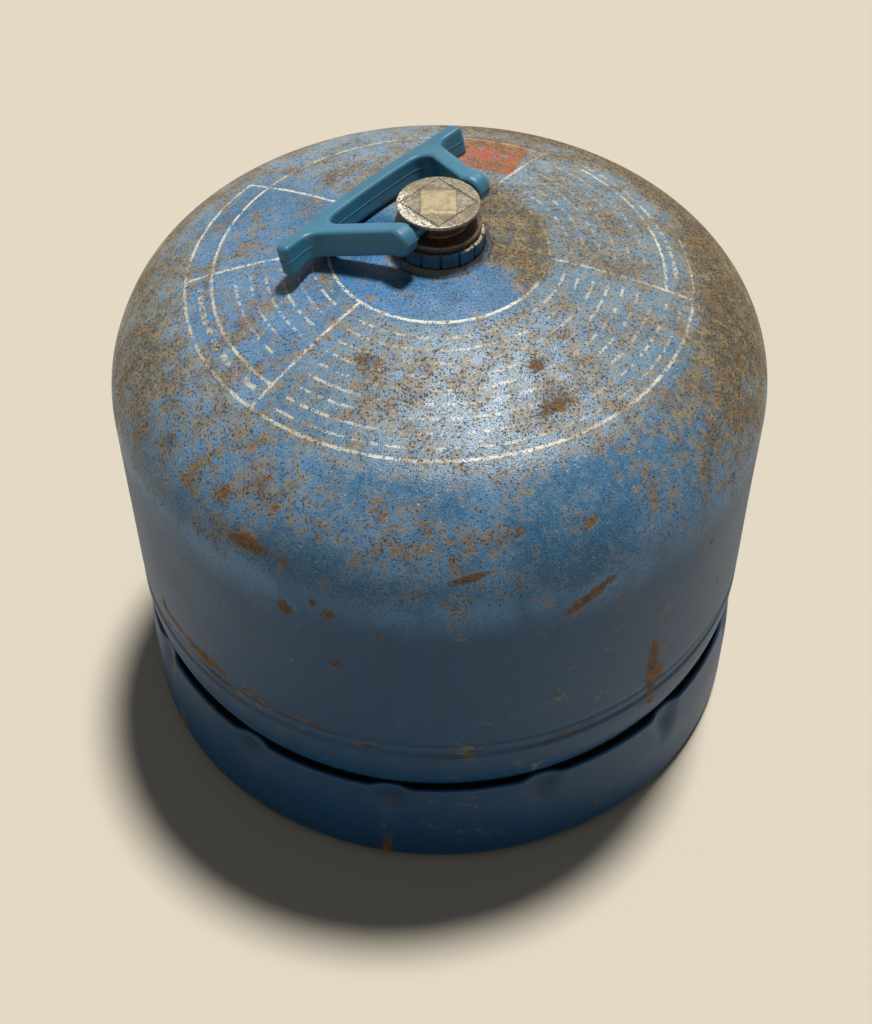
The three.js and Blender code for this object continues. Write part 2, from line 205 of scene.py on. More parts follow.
def turned(profile, around):
    """Each profile point (radius, height) carried round the Z axis: a grid of angle by profile."""
    angle = np.linspace(0, 2 * math.pi, around, endpoint=False)[:, None]
    radius, height = profile[:, 0][None], profile[:, 1][None]
    return np.stack([radius * np.sin(angle), -radius * np.cos(angle), height + 0 * angle], 2)


def grid_faces(rows, columns, wrap_columns):
    """Four corners for each cell of a grid whose rows close on themselves."""
    index = np.arange(rows * columns).reshape(rows, columns)
    onward = np.roll(index, -1, 0)
    if wrap_columns:
        beside, both = np.roll(index, -1, 1), np.roll(onward, -1, 1)
        return np.stack([index, onward, both, beside], 2).reshape(-1, 4)
    return np.stack([index[:, :-1], onward[:, :-1], onward[:, 1:], index[:, 1:]], 2).reshape(-1, 4)


def made(name, shells, body, slot, nodes, material, sharp=38):
    """One closed piece from (points, faces) shells in millimetres, standing for CAD nodes."""
    mesh = bpy.data.meshes.new(name)
    counts = np.cumsum([0] + [len(points) for points, _ in shells])
    points = np.concatenate([points for points, _ in shells]) * MM
    faces = np.concatenate([faces + start for (_, faces), start in zip(shells, counts)])
    mesh.from_pydata(points.tolist(), [], faces.tolist())
    work = bmesh.new()
    work.from_mesh(mesh)
    bmesh.ops.remove_doubles(work, verts=work.verts, dist=1e-7)
    bmesh.ops.recalc_face_normals(work, faces=work.faces)
    work.to_mesh(mesh)
    work.free()
    mesh.shade_smooth()
    mesh.set_sharp_from_angle(angle=math.radians(sharp))
    piece = bpy.data.objects.new(name, mesh)
    bpy.context.scene.collection.objects.link(piece)
    mesh.materials.append(material)
    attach(piece, body)
    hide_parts(*nodes)
    return piece


def lathe(name, profile, around, shape, closed, **how):
    """A turned piece; shape moves the grid's points before they become a mesh."""
    points = turned(profile, around)
    if shape is not None:
        points = shape(points)
    faces = grid_faces(around, len(profile), closed)
    return made(name, [(points.reshape(-1, 3), faces)], **how)


def places(piece):
    """The piece's vertices in millimetres."""
    flat = np.empty(3 * len(piece.data.vertices), np.float32)
    piece.data.vertices.foreach_get("co", flat)
    return flat.reshape(-1, 3).astype(float) / MM


def mark(piece, **layers):
    """Stores values from -0.5 to 1 at each vertex, for a material to read by name."""
    for name, values in layers.items():
        layer = piece.data.attributes.new(name, "FLOAT", "POINT")
        values = np.broadcast_to(values, len(piece.data.vertices))
        layer.data.foreach_set("value", np.clip(values, -0.5, 1).astype(np.float32))


def polar(points):
    """Radius, azimuth in degrees and height of each point."""
    x, y, z = points[..., 0], points[..., 1], points[..., 2]
    return np.hypot(x, y), np.degrees(np.arctan2(x, -y)), z


def drawn_in(points, push):
    """Points moved towards the Z axis by a distance each."""
    radius = np.hypot(points[..., 0], points[..., 1])
    shrink = 1 - push / np.maximum(radius, 1e-6)
    return np.concatenate([points[..., :2] * shrink[..., None], points[..., 2:]], -1)


def from_nearest(azimuth, count, first, radius):
    """Distance along a circle from the nearest of count evenly spaced marks, one of them at first."""
    spacing = 360 / count
    turn = azimuth - first
    return np.radians(np.abs(turn - spacing * np.round(turn / spacing))) * radius


def fade(share):
    """1 at 0, 0 from 1 on, a squared cosine between."""
    return np.cos(math.pi / 2 * np.clip(share, 0, 1)) ** 2


def ripple(seed):
    """A repeatable smooth noise of points: a mean of sine waves in directions drawn from a seed."""
    draw = np.random.default_rng(seed)
    waves = draw.normal(size=(14, 3))
    phases = draw.uniform(0, 2 * math.pi, 14)

    def value(points, size):
        return np.sin(points @ waves.T / size + phases).mean(-1) * 2
    return value


rough = ripple(7)


class Shade:
    """A socket of a node tree. Arithmetic on it adds Math nodes."""

    def __init__(self, tree, socket=None):
        self.tree, self.socket = tree, socket

    def node(self, kind, settings=None, inputs=None, output=0):
        """A node of a kind, with its settings and its sockets' values or links; one of its outputs."""
        new = self.tree.nodes.new("ShaderNode" + kind)
        for name, value in (settings or {}).items():
            setattr(new, name, value)
        for name, value in (inputs or {}).items():
            if isinstance(value, Shade):
                self.tree.links.new(value.socket, new.inputs[name])
            else:
                new.inputs[name].default_value = value
        return Shade(self.tree, new.outputs[output])

    def math(self, operation, *values):
        return self.node("Math", {"operation": operation}, dict(enumerate(values)))

    def __add__(self, other):
        return self.math("ADD", self, other)

    __radd__ = __add__

    def __sub__(self, other):
        return self.math("SUBTRACT", self, other)

    def __rsub__(self, other):
        return self.math("SUBTRACT", other, self)

    def __mul__(self, other):
        return self.math("MULTIPLY", self, other)

    __rmul__ = __mul__

    def __truediv__(self, other):
        return self.math("DIVIDE", self, other)

    def __abs__(self):
        return self.math("ABSOLUTE", self)

    def __pow__(self, other):
        return self.math("POWER", self, other)

    def most(self, other):
        return self.math("MAXIMUM", self, other)

    def least(self, other):
        return self.math("MINIMUM", self, other)

    def step(self, low, high):
        """0 up to low, 1 from high, smooth between; falling where low is the larger."""
        settings = {"interpolation_type": "SMOOTHSTEP"}
        if low > high:
            inputs = {"Value": self, "From Min": high, "From Max": low, "To Min": 1.0, "To Max": 0.0}
        else:
            inputs = {"Value": self, "From Min": low, "From Max": high}
        return self.node("MapRange", settings, inputs)

    def noise(self, size, detail=3.0, roughness=0.5, distortion=0.0):
        """Cloudy noise whose largest features are about size millimetres across."""
        return self.node("TexNoise", None, {"Vector": self, "Scale": 1 / (size * MM), "Detail": detail,
                                            "Roughness": roughness, "Distortion": distortion})

    def mix(self, under, over):
        """A colour: under where this value is 0, over where it is 1. Each is a socket or a screen colour."""
        under, over = (side if isinstance(side, Shade) else colour(*side) for side in (under, over))
        return self.node("Mix", {"data_type": "RGBA"}, {0: self, 6: under, 7: over}, output=2)

    def dots(self, spacing):
        """Round cells about spacing millimetres apart: distance from each middle, and a number for each cell."""
        near = self.node("TexVoronoi", None, {"Vector": self, "Scale": 1 / (spacing * MM)}, output="Distance")
        chance = near.node("SeparateColor", None, {0: Shade(self.tree, near.socket.node.outputs["Color"])})
        return near, chance


def colour(red, green, blue):
    """A colour of a screen, from 0 to 255, as linear light."""
    screen = np.array([red, green, blue]) / 255
    light = np.where(screen <= 0.04045, screen / 12.92, ((screen + 0.055) / 1.055) ** 2.4)
    return (*light.tolist(), 1.0)


def finish_of(name):
    """A new material: its Principled shader and a Shade to start from."""
    material = bpy.data.materials.new(name)
    material.use_nodes = True
    tree = material.node_tree
    shader = tree.nodes["Principled BSDF"]
    return material, shader, Shade(tree)


def feed(shader, **sockets):
    """Links or sets the shader's sockets; an underscore in a name stands for a space."""
    for name, value in sockets.items():
        socket = shader.inputs[name.replace("_", " ")]
        if isinstance(value, Shade):
            value.tree.links.new(value.socket, socket)
        else:
            socket.default_value = value


def bumped(start, height, distance, strength=1.0):
    """A normal from a height from 0 to 1 that stands for a distance in millimetres."""
    return start.node("Bump", None, {"Height": height, "Distance": distance * MM, "Strength": strength})


def layers_of(start, *names):
    """The values that mark() stored at the vertices."""
    return [start.node("Attribute", {"attribute_name": name}, output="Fac") for name in names]


# The printed lines: circles as (radius, first azimuth, last azimuth), and the azimuths of the spokes
PRINT_INNER, PRINT_OUTER = 32.3, 75.4
PRINT_CIRCLES = [(PRINT_INNER, -180, 180), (PRINT_OUTER, -128, 104), (67.2, -180, -43.8), (67.2, 82.2, 180)]
PRINT_SPOKES = [-43.8, 82.2, -89.4, -128, 150]
PRINT_WIDTH = 1.25
PRINT_EDGE = 0.35


def printed_lines(radius, azimuth, fray):
    """Thin lines: each circle within its azimuths, each spoke between the inner and the outer circle."""
    total = None
    for at, first, last in PRINT_CIRCLES:
        line = abs(radius - at + fray).step(PRINT_WIDTH / 2, PRINT_WIDTH / 2 - PRINT_EDGE)
        if last - first < 360:
            line = line * azimuth.step(first - 0.2, first + 0.2) * azimuth.step(last + 0.2, last - 0.2)
        total = line if total is None else total.most(line)
    for at in PRINT_SPOKES:
        along = abs(azimuth - at) * (math.pi / 180) * radius + fray
        line = along.step(PRINT_WIDTH / 2, PRINT_WIDTH / 2 - PRINT_EDGE)
        line = line * radius.step(PRINT_INNER, PRINT_INNER + 0.2) * radius.step(PRINT_OUTER, PRINT_OUTER - 0.2)
        total = total.most(line)
    return total


# Rows of plain bars: (first radius, last radius, spacing, height, first azimuth, last azimuth, share)
PRINT_ROWS = [
    (37.2, 72.5, 4.3, 1.1, -39, 78, 0.43),
    (37.0, 64.0, 4.5, 1.1, -84, -49, 0.43),
    (69.6, 73.0, 3.4, 1.9, -86, -46, 0.45),
    (38.0, 64.0, 4.5, 1.1, 88, 144, 0.43),
    (69.6, 73.0, 3.4, 1.6, 86, 140, 0.45),
]


def printed_rows(start, radius, azimuth, fray):
    """Arcs of plain bars: noise along each row cuts it into bars of many lengths."""
    total = None
    for first, last, spacing, height, left, right, share in PRINT_ROWS:
        run = (radius - first + fray) / spacing
        row = run.math("FLOOR", run)
        inside = run - row
        band = inside.step(height / spacing, height / spacing - 0.06) * inside.step(0.0, 0.06)
        band = band * radius.step(first, first + 0.1) * radius.step(last, last - 0.1)
        along = azimuth * (math.pi / 180) * (first + row * spacing)
        cuts = start.node("CombineXYZ", None, {0: along * 0.42, 1: row * 7.31})
        cuts = start.node("TexNoise", {"noise_dimensions": "2D"}, {"Vector": cuts, "Scale": 1.0, "Detail": 0.0})
        bars = cuts.step(share - 0.02, share + 0.02) * band
        bars = bars * azimuth.step(left, left + 1) * azimuth.step(right, right - 1)
        total = bars if total is None else total.most(bars)
    return total


# Small spots and runs of rust on the wall: (azimuth, height, half width, half length, tilt, strength)
WALL_SPOTS = [
    (-25.4, 118.0, 2.4, 3.6, 14, 1.0), (-20.4, 124.4, 1.5, 2.2, 0, 0.9), (-17.9, 120.9, 2.4, 2.2, 20, 0.95),
    (-17.0, 98.7, 2.6, 1.9, -30, 0.9), (-9.9, 115.3, 1.5, 2.2, 0, 0.6), (24.2, 123.6, 9.5, 2.0, 33, 1.0),
    (4.2, 138.3, 7.0, 1.3, 15, 0.9), (39.3, 75.0, 2.4, 12.0, 2, 0.95), (40.0, 66.5, 4.2, 5.5, 0, 1.0),
    (-59.0, 71.0, 2.6, 3.6, 0, 0.8), (-33.0, 101.0, 1.4, 1.2, 0, 0.6), (12.0, 104.0, 1.2, 2.4, 30, 0.55),
    (-46.0, 68.0, 10.0, 2.4, -3, 1.05), (-33.5, 66.2, 7.0, 1.0, -2, 1.0), (-24.0, 65.6, 8.0, 0.8, 0, 0.95),
    (-55.0, 69.6, 5.5, 1.7, -4, 0.95), (52.0, 112.0, 1.6, 1.4, 0, 0.7), (58.0, 84.0, 1.3, 3.2, -12, 0.6),
    (-48.0, 112.0, 1.6, 1.2, 0, 0.6),
]


def wall_radius(height):
    """The outside's radius on the wall and on the knuckle's arc above it."""
    return KNUCKLE_RING + math.sqrt(KNUCKLE ** 2 - max(0.0, height - UPPER_KNUCKLE) ** 2)


def wall_spots(start, place, fray):
    """The strongest of oval spots on the wall, each with an edge that a noise frays."""
    total = None
    for azimuth, height, wide, tall, tilt, strength in WALL_SPOTS:
        turn, lean = math.radians(azimuth), math.radians(tilt)
        radius = wall_radius(height)
        centre = (radius * math.sin(turn) * MM, -radius * math.cos(turn) * MM, height * MM)
        offset = start.node("VectorMath", {"operation": "SUBTRACT"}, {0: place, 1: centre})
        axes = [(math.cos(lean) * math.cos(turn), math.cos(lean) * math.sin(turn), math.sin(lean), wide),
                (-math.sin(lean) * math.cos(turn), -math.sin(lean) * math.sin(turn), math.cos(lean), tall)]
        squares = []
        for ax, ay, az, half in axes:
            scaled = (ax / (half * MM), ay / (half * MM), az / (half * MM))
            along = start.node("VectorMath", {"operation": "DOT_PRODUCT"}, {0: offset, 1: scaled}, output="Value")
            squares.append(along * along)
        nearby = start.node("VectorMath", {"operation": "LENGTH"}, {0: offset}, output="Value").step(0.05, 0.04)
        spot = (strength - (squares[0] + squares[1]) ** 0.5 * 0.8 + fray).step(0.12, 0.4) * nearby
        total = spot if total is None else total.most(spot)
    return total


# Colours of the paint and of what lies on it, as a screen shows them
# The wall blue is the paint darkened as painted shade.
DARK_BLUE, PALE_BLUE, SHADED_WALL_BLUE, RUN_BLUE = (40, 97, 138), (70, 129, 182), (11, 66, 106), (20, 54, 84)
# The chalk colour is chalky paint and also a painted sheen; the pale grain colour is a painted glint.
CHALK_AND_SHEEN, DARK_GRAIN, PAINTED_GLINT, CHIP = (162, 178, 178), (34, 66, 88), (150, 184, 206), (226, 228, 224)
PRIMER, PRINT = (160, 75, 52), (220, 216, 200)
DARK_FILM, PALE_FILM, SPECK, OCHRE, PIT = (84, 74, 52), (136, 117, 76), (56, 49, 36), (122, 93, 52), (40, 36, 30)
# The dirt colour is also used for painted shade.
DARK_RUST, PALE_RUST, DIRT_AND_SHADE, BARE_METAL = (58, 45, 31), (128, 90, 44), (23, 22, 22), (182, 164, 124)

# The field of primer on the dome: middle azimuth, half width, inner and outer radius
FIELD_AZIMUTH, FIELD_HALF, FIELD_INNER, FIELD_OUTER = 163.5, 11.0, 43.5, 69.5


def paint_finish(name, with_print):
    """Blue paint, darker on the wall as painted shade, under chalk lightened as a painted sheen, with pale grains
    as painted glints;
    a brown film in clouds and small dark dots, all thicker where age and stain are high, then solid patches of rust
    where rust is high, a dark colour for dirt at seams and edges and for painted shade at the boss, on the collar
    and in gaps, and bare metal where bare is."""
    material, shader, start = finish_of(name)
    place = start.node("TexCoord", output="Object")
    rust_at, age, stain, grime, bare = layers_of(start, "rust", "age", "stain", "grime", "bare")
    grain = place.noise(0.45, 2.0)
    fine = place.noise(0.9, 3.0, 0.62)
    tone = place.noise(3.0, 4.0, 0.62)
    cloud = place.noise(9.0, 5.0, 0.66)
    broad = place.noise(42.0, 3.0, 0.55)
    runs = start.node("Mapping", None, {"Vector": place, "Scale": (1.0, 1.0, 0.12)}).noise(7.0, 4.0, 0.6)
    near, chance = place.dots(0.78)
    wide_near, wide_chance = place.dots(1.7)

    paint = (broad + (cloud - 0.5) * 0.6).step(0.36, 0.62).mix(DARK_BLUE, PALE_BLUE)
    # Where age is low, on the wall, the paint turns to a darker blue: painted shade.
    paint = age.step(0.25, -0.2).mix(paint, SHADED_WALL_BLUE)
    paint = (runs.step(0.5, 0.74) * 0.35).mix(paint, RUN_BLUE)
    cover = age * 0.62 + stain * 0.62 + rust_at * 0.45 + (cloud - 0.5) * 2.3 + (broad - 0.5) * 1.3
    chalk_and_sheen = (age * 0.75 + (tone - 0.5) * 0.8 + (broad - 0.5) * 0.8).step(0.15, 1.0)
    film = (cover + (tone - 0.5) * 1.6 + (fine - 0.5) * 1.0).step(0.2, 0.8)
    small = (cover * 0.14 + chance * 0.28 + 0.03 - near + (fine - 0.5) * 0.5).step(-0.04, 0.06)
    large = (cover * 0.16 + wide_chance * 0.18 - 0.1 - wide_near + (fine - 0.5) * 0.5).step(-0.04, 0.06)
    specks = (fine + (cover - 0.5) * 0.14).step(0.57, 0.63)
    lone = (wide_chance * 0.9 - 0.7 - wide_near).step(-0.02, 0.04)
    pits = (small.most(large) * age.step(-0.25, 0.15)).most(lone * 0.8)
    patch = (rust_at * 0.95 + (tone - 0.5) * 1.4 + (fine - 0.5) * 1.1).step(0.5, 0.85)
    chips = (grain + (tone - 0.5) * 0.35).step(0.74, 0.77) * age.step(0.0, 0.4)

    # Chalky paint, lightened further as a painted sheen on the dome.
    surface = (chalk_and_sheen * 0.6).mix(paint, CHALK_AND_SHEEN)
    surface = (grain.step(0.5, 0.34) * age.step(-0.1, 0.4) * 0.4).mix(surface, DARK_GRAIN)
    # Pale grains on the dome: painted glints.
    surface = (grain.step(0.56, 0.68) * age.step(-0.1, 0.4) * 0.3).mix(surface, PAINTED_GLINT)
    if with_print:
        patch = patch.most(wall_spots(start, place, (tone - 0.5) * 1.6 + (fine - 0.5) * 1.0))
        split = start.node("SeparateXYZ", None, {0: place})
        x, y, height = (Shade(start.tree, split.socket.node.outputs[axis]) / MM for axis in "XYZ")
        radius = (x * x + y * y) ** 0.5
        azimuth = x.math("ARCTAN2", x, y * -1.0) * (180 / math.pi)
        on_dome = height.step(140, 145)
        primer = (abs(azimuth - FIELD_AZIMUTH) * (math.pi / 180) * radius).step(FIELD_HALF + 0.5, FIELD_HALF - 0.5)
        primer = primer * radius.step(FIELD_INNER - 0.5, FIELD_INNER + 0.5)
        primer = primer * radius.step(FIELD_OUTER + 0.5, FIELD_OUTER - 0.5)
        primer = primer * (tone + (fine - 0.5) * 0.8).step(0.32, 0.4)
        surface = (primer * on_dome).mix(surface, PRIMER)
        fray = (fine - 0.5) * 0.8
        lines = printed_lines(radius, azimuth, fray) * (tone + (fine - 0.5) * 0.8).step(0.34, 0.46)
        rows = printed_rows(start, radius, azimuth, fray) * (tone + (fine - 0.5) * 1.1).step(0.36, 0.5)
        surface = (lines.most(rows * 0.75) * on_dome * 0.92).mix(surface, PRINT)

    brown = (tone + (fine - 0.5) * 0.6).step(0.38, 0.62).mix(DARK_FILM, PALE_FILM)
    surface = (film * (0.66 + stain * 0.26)).mix(surface, brown)
    surface = (specks * age.step(-0.1, 0.3) * 0.7).mix(surface, SPECK)
    ochre = (cloud * 0.7 + tone * 0.5 + (fine - 0.5) * 0.4 + (cover - 0.5) * 0.1).step(0.66, 0.82)
    surface = (ochre * age.step(0.0, 0.3) * 0.6).mix(surface, OCHRE)
    surface = (pits * 0.78).mix(surface, PIT)
    surface = chips.mix(surface, CHIP)
    rust = (tone + (grain - 0.5) * 1.2).step(0.44, 0.7).mix(DARK_RUST, PALE_RUST)
    surface = (patch * 0.94).mix(surface, rust)
    # Dark colour: dirt at seams and edges, and painted shade at the boss, on the collar and in gaps.
    surface = ((grime + (tone - 0.5) * 0.9).step(0.25, 0.9) * 0.85).mix(surface, DIRT_AND_SHADE)
    chipped = (bare + (fine - 0.5) * 1.1).step(0.5, 0.66)
    surface = chipped.mix(surface, BARE_METAL)

    worn = pits.most(patch).most(specks * 0.6)
    feed(shader, Base_Color=surface, Specular_IOR_Level=0.3,
         Roughness=(0.44 - age.step(0.0, 0.5) * 0.15 + film * 0.16 + (grain - 0.5) * 0.3 + worn * 0.28).least(0.95),
         Metallic=chipped * 0.5,
         Normal=bumped(start, grain * 0.8 + tone * 0.3 - pits * 0.4 + patch * (0.4 + fine * 0.8),
                       distance=0.16, strength=0.9))
    return material


# Colours of the boss's weld, of the plug's worn zinc and of the handle's plastic
# The darkest weld colour is dark rust and painted shade.
DARK_CRUST_AND_SHADE, PALE_CRUST, LEFT_PAINT = (30, 27, 24), (84, 60, 36), (40, 88, 122)
DARK_ZINC, PALE_ZINC, PAD_TAN, TARNISH = (106, 101, 87), (166, 160, 142), (180, 163, 118), (114, 94, 60)
ZINC_SPECK, FLECK, DARK_SOIL, PALE_SOIL = (70, 63, 49), (232, 229, 218), (42, 32, 23), (98, 70, 42)
DARK_TEAL, PALE_TEAL, SCUFF, TEAL_DIRT = (40, 102, 130), (50, 115, 142), (90, 150, 172), (22, 58, 78)


def weld_finish():
    """The boss's weld: dark rust close to the collar, darkened further as painted shade of the collar's foot, blue
    paint left towards its outer edge.
    """
    material, shader, start = finish_of("weld_rust")
    place = start.node("TexCoord", output="Object")
    fine, tone = place.noise(0.8, 4.0, 0.65), place.noise(3.5, 4.0, 0.6)
    flat = start.node("VectorMath", {"operation": "MULTIPLY"}, {0: place, 1: (1 / MM, 1 / MM, 0.0)})
    radius = start.node("VectorMath", {"operation": "LENGTH"}, {0: flat}, output="Value")
    crust = (tone + (fine - 0.5) * 0.9).step(0.46, 0.7).mix(DARK_CRUST_AND_SHADE, PALE_CRUST)
    left = (radius + (tone - 0.5) * 5.0 + (fine - 0.5) * 2.4).step(14.3, 15.2)
    surface = (left * 0.9).mix(crust, LEFT_PAINT)
    feed(shader, Base_Color=surface, Roughness=0.68 + (fine - 0.5) * 0.3, Normal=bumped(start, fine, 0.12, 0.7))
    return material


def plug_finish():
    """Worn zinc: mottled tan and grey, pale flecks near the rim, a tan pad and dark rust where soil is high."""
    material, shader, start = finish_of("worn_zinc")
    place = start.node("TexCoord", output="Object")
    soil, flecked, pad = layers_of(start, "soil", "flecked", "pad")
    fine, tone, grain = place.noise(0.7, 3.0, 0.6), place.noise(2.6, 4.0, 0.62), place.noise(0.3, 2.0)
    blotch = place.noise(5.0, 3.0, 0.6, 0.4)
    surface = (tone + (fine - 0.5) * 0.7).step(0.42, 0.6).mix(DARK_ZINC, PALE_ZINC)
    surface = (pad * 0.5).mix(surface, PAD_TAN)
    surface = ((blotch + (fine - 0.5) * 0.6).step(0.5, 0.62) * 0.45).mix(surface, TARNISH)
    surface = ((fine + (tone - 0.5) * 0.8).step(0.54, 0.64) * (0.75 - pad * 0.55)).mix(surface, ZINC_SPECK)
    flecks = (fine * 0.7 + grain * 0.5 + flecked * 0.26).step(0.84, 0.92)
    surface = flecks.mix(surface, FLECK)
    dirty = (soil + (fine - 0.5) * 0.5).step(0.35, 0.75)
    dirt = (tone + (fine - 0.5) * 0.4).step(0.4, 0.66).mix(DARK_SOIL, PALE_SOIL)
    surface = dirty.mix(surface, dirt)
    feed(shader, Base_Color=surface, Roughness=0.48 + flecks * 0.2 - dirty * 0.04 + (fine - 0.5) * 0.3,
         Metallic=(1 - dirty) * 0.35 * (1 - flecks * 0.8),
         Normal=bumped(start, fine * 0.6 + grain * 0.4, 0.08, 0.5))
    return material


def plastic_finish():
    """Moulded teal plastic: a satin face with faint dust, fine scuffs and paler worn spots."""
    material, shader, start = finish_of("teal_plastic")
    place = start.node("TexCoord", output="Object")
    fine, tone, broad = place.noise(0.5, 3.0), place.noise(5.0, 4.0, 0.6), place.noise(24.0, 2.0)
    scuffs = start.node("Mapping", None, {"Vector": place, "Rotation": (0.2, 0.5, 0.9), "Scale": (1.0, 7.0, 3.0)})
    scuffs = scuffs.noise(6.0, 3.0, 0.7)
    surface = broad.step(0.4, 0.6).mix(DARK_TEAL, PALE_TEAL)
    surface = (scuffs.step(0.6, 0.74) * 0.25).mix(surface, SCUFF)
    surface = ((tone + (fine - 0.5) * 0.4).step(0.6, 0.78) * 0.4).mix(surface, TEAL_DIRT)
    feed(shader, Base_Color=surface, Roughness=0.44 + (tone - 0.5) * 0.3 + scuffs.step(0.55, 0.8) * 0.2,
         Normal=bumped(start, fine * 0.7 + tone * 0.3, 0.06, 0.4))
    return material


def plain_finish(name, base, deep, roughness, metallic):
    """A plain metal or rubber with a slight mottle."""
    material, shader, start = finish_of(name)
    place = start.node("TexCoord", output="Object")
    fine, tone = place.noise(0.5, 3.0), place.noise(2.5, 3.0)
    feed(shader, Base_Color=tone.step(0.35, 0.65).mix(deep, base), Metallic=metallic,
         Roughness=roughness + (fine - 0.5) * 0.2, Normal=bumped(start, fine, 0.03, 0.4))
    return material


printed_paint = paint_finish("printed_blue_paint", True)
blue_paint = paint_finish("blue_paint", False)
weld_rust = weld_finish()
worn_zinc = plug_finish()
teal_plastic = plastic_finish()
black_rubber = plain_finish("black_rubber", (34, 33, 32), (24, 23, 23), 0.75, 0.0)
bright_steel = plain_finish("bright_steel", (190, 190, 188), (150, 150, 150), 0.28, 1.0)


def dish(depth, end_radius, knuckle_steps, crown_steps):
    """From the wall to a radius on the crown: an arc of the knuckle, then one of the crown."""
    lift = np.linspace(0, math.pi / 2 - CROWN_JOIN, knuckle_steps + 1)
    knuckle = np.stack([KNUCKLE_RING + (KNUCKLE - depth) * np.cos(lift), (KNUCKLE - depth) * np.sin(lift)], 1)
    angle = np.linspace(CROWN_JOIN, math.asin(end_radius / (CROWN - depth)), crown_steps + 1)[1:]
    crown = (CROWN - depth) * np.stack([np.sin(angle), np.cos(angle)], 1) - [0, CROWN_DROP]
    return np.concatenate([knuckle, crown])


def meridian(radius, height):
    """Outward normal and upward tangent of the vessel's outside, as (radial, vertical) pairs."""
    if height < UPPER_KNUCKLE:
        across, along = 1.0, 0.0
    elif radius > CROWN * math.sin(CROWN_JOIN):
        across = (radius - KNUCKLE_RING) / KNUCKLE
        along = math.sqrt(max(0.0, 1 - across ** 2))
    else:
        across = radius / CROWN
        along = math.sqrt(1 - across ** 2)
    return (across, along), (-along, across)


# A stain ends at this distance, so that it doesn't show on the far side
STAIN_REACH = 60.0


def on_wall(radius, spots):
    """Spots on a wall of one radius, as stains() takes them."""
    return [(azimuth, radius, *rest) for azimuth, *rest in spots]


def stains(points, spots):
    """The strongest of soft oval spots: (azimuth, radius, height, half width, half length, tilt, strength).

    Each falls off as a bell curve of its distance in half widths and half lengths, along the surface.
    """
    total = np.zeros(len(points))
    for azimuth, radius, height, wide, tall, tilt, strength in spots:
        turn, lean = math.radians(azimuth), math.radians(tilt)
        _, (inward, upward) = meridian(radius, height)
        outward = np.array([math.sin(turn), -math.cos(turn), 0])
        centre = outward * radius + [0, 0, height]
        across = np.array([math.cos(turn), math.sin(turn), 0])
        along = outward * inward + [0, 0, upward]
        offset = points - centre
        u, v = offset @ across, offset @ along
        u, v = u * math.cos(lean) + v * math.sin(lean), v * math.cos(lean) - u * math.sin(lean)
        near = np.exp(-(u / wide) ** 2 - (v / tall) ** 2) * (np.linalg.norm(offset, axis=1) < STAIN_REACH)
        total = np.maximum(total, strength * near)
    return total


# Shallow dents: (azimuth, radius, height, reach, depth)
DENTS = [(-52, 101.5, 104, 15, 0.5), (63, 101.5, 92, 18, 0.6), (14, 100, 134, 13, 0.35), (118, 101.5, 110, 20, 0.8),
         (-128, 101.5, 84, 16, 0.5), (176, 96, 143, 15, 0.6), (-95, 92, 149, 16, 0.45), (38, 66, 163, 20, 0.3)]


def dented(points):
    """Moves points inwards by a bell curve round each dent."""
    moved = points.copy()
    for azimuth, radius, height, reach, depth in DENTS:
        turn = math.radians(azimuth)
        (across, along), _ = meridian(radius, height)
        outward = np.array([math.sin(turn), -math.cos(turn), 0])
        distance = np.linalg.norm(points - (outward * radius + [0, 0, height]), axis=-1)
        normal = outward * across + [0, 0, along]
        moved -= (depth * np.exp(-(distance / reach) ** 2))[..., None] * normal
    return moved


# Rust: the rows of stains() on the dome, and without their radius on the wall
DOME_SPOTS = [
    (-31.6, 99.5, 137.0, 11.0, 3.4, -4, 1.0), (-26.0, 99.7, 136.3, 5.0, 2.2, -10, 0.8),
    (30.8, 52.9, 167.1, 4.2, 3.4, 0, 1.0), (28.8, 65.7, 163.4, 9.0, 3.6, 12, 0.95),
    (-24.3, 48.5, 168.1, 5.5, 4.6, 0, 0.85), (-10.6, 58.5, 165.5, 9.0, 4.0, 20, 0.6),
    (71.3, 26.4, 172.1, 5.0, 6.0, 0, 0.5), (-54.3, 93.6, 147.7, 2.6, 2.2, 0, 0.8),
    (-38.8, 94.2, 146.9, 3.2, 2.6, 20, 0.85), (-28.8, 92.8, 148.6, 2.0, 3.2, 0, 0.7),
    (13.3, 92.7, 148.7, 5.5, 2.2, 8, 0.75), (25.4, 94.2, 146.8, 5.0, 2.6, 0, 0.75),
    (-2.0, 91.0, 150.5, 3.0, 2.4, 0, 0.7), (104.5, 82.0, 157.0, 20.0, 9.0, 0, 0.5),
    (89.4, 84.1, 155.9, 10.0, 6.0, 0, 0.5), (130.0, 84.0, 156.0, 30.0, 9.0, 0, 0.45),
    (72.7, 90.2, 151.4, 5.0, 4.0, 0, 0.5), (160.0, 86.0, 154.0, 26.0, 9.0, 0, 0.4),
    (-150.0, 88.0, 152.6, 30.0, 7.0, 0, 0.35), (-112.0, 70.0, 162.0, 5.0, 3.0, 0, 0.6),
    (-140.0, 52.0, 167.3, 6.0, 3.5, 30, 0.7), (-122.0, 48.0, 168.3, 4.0, 2.5, 0, 0.65),
    (110.0, 56.0, 166.2, 8.0, 4.0, 0, 0.7), (95.0, 44.0, 169.2, 6.0, 4.0, 0, 0.6),
    (150.0, 20.0, 172.8, 10.0, 7.0, 0, 0.35),
]

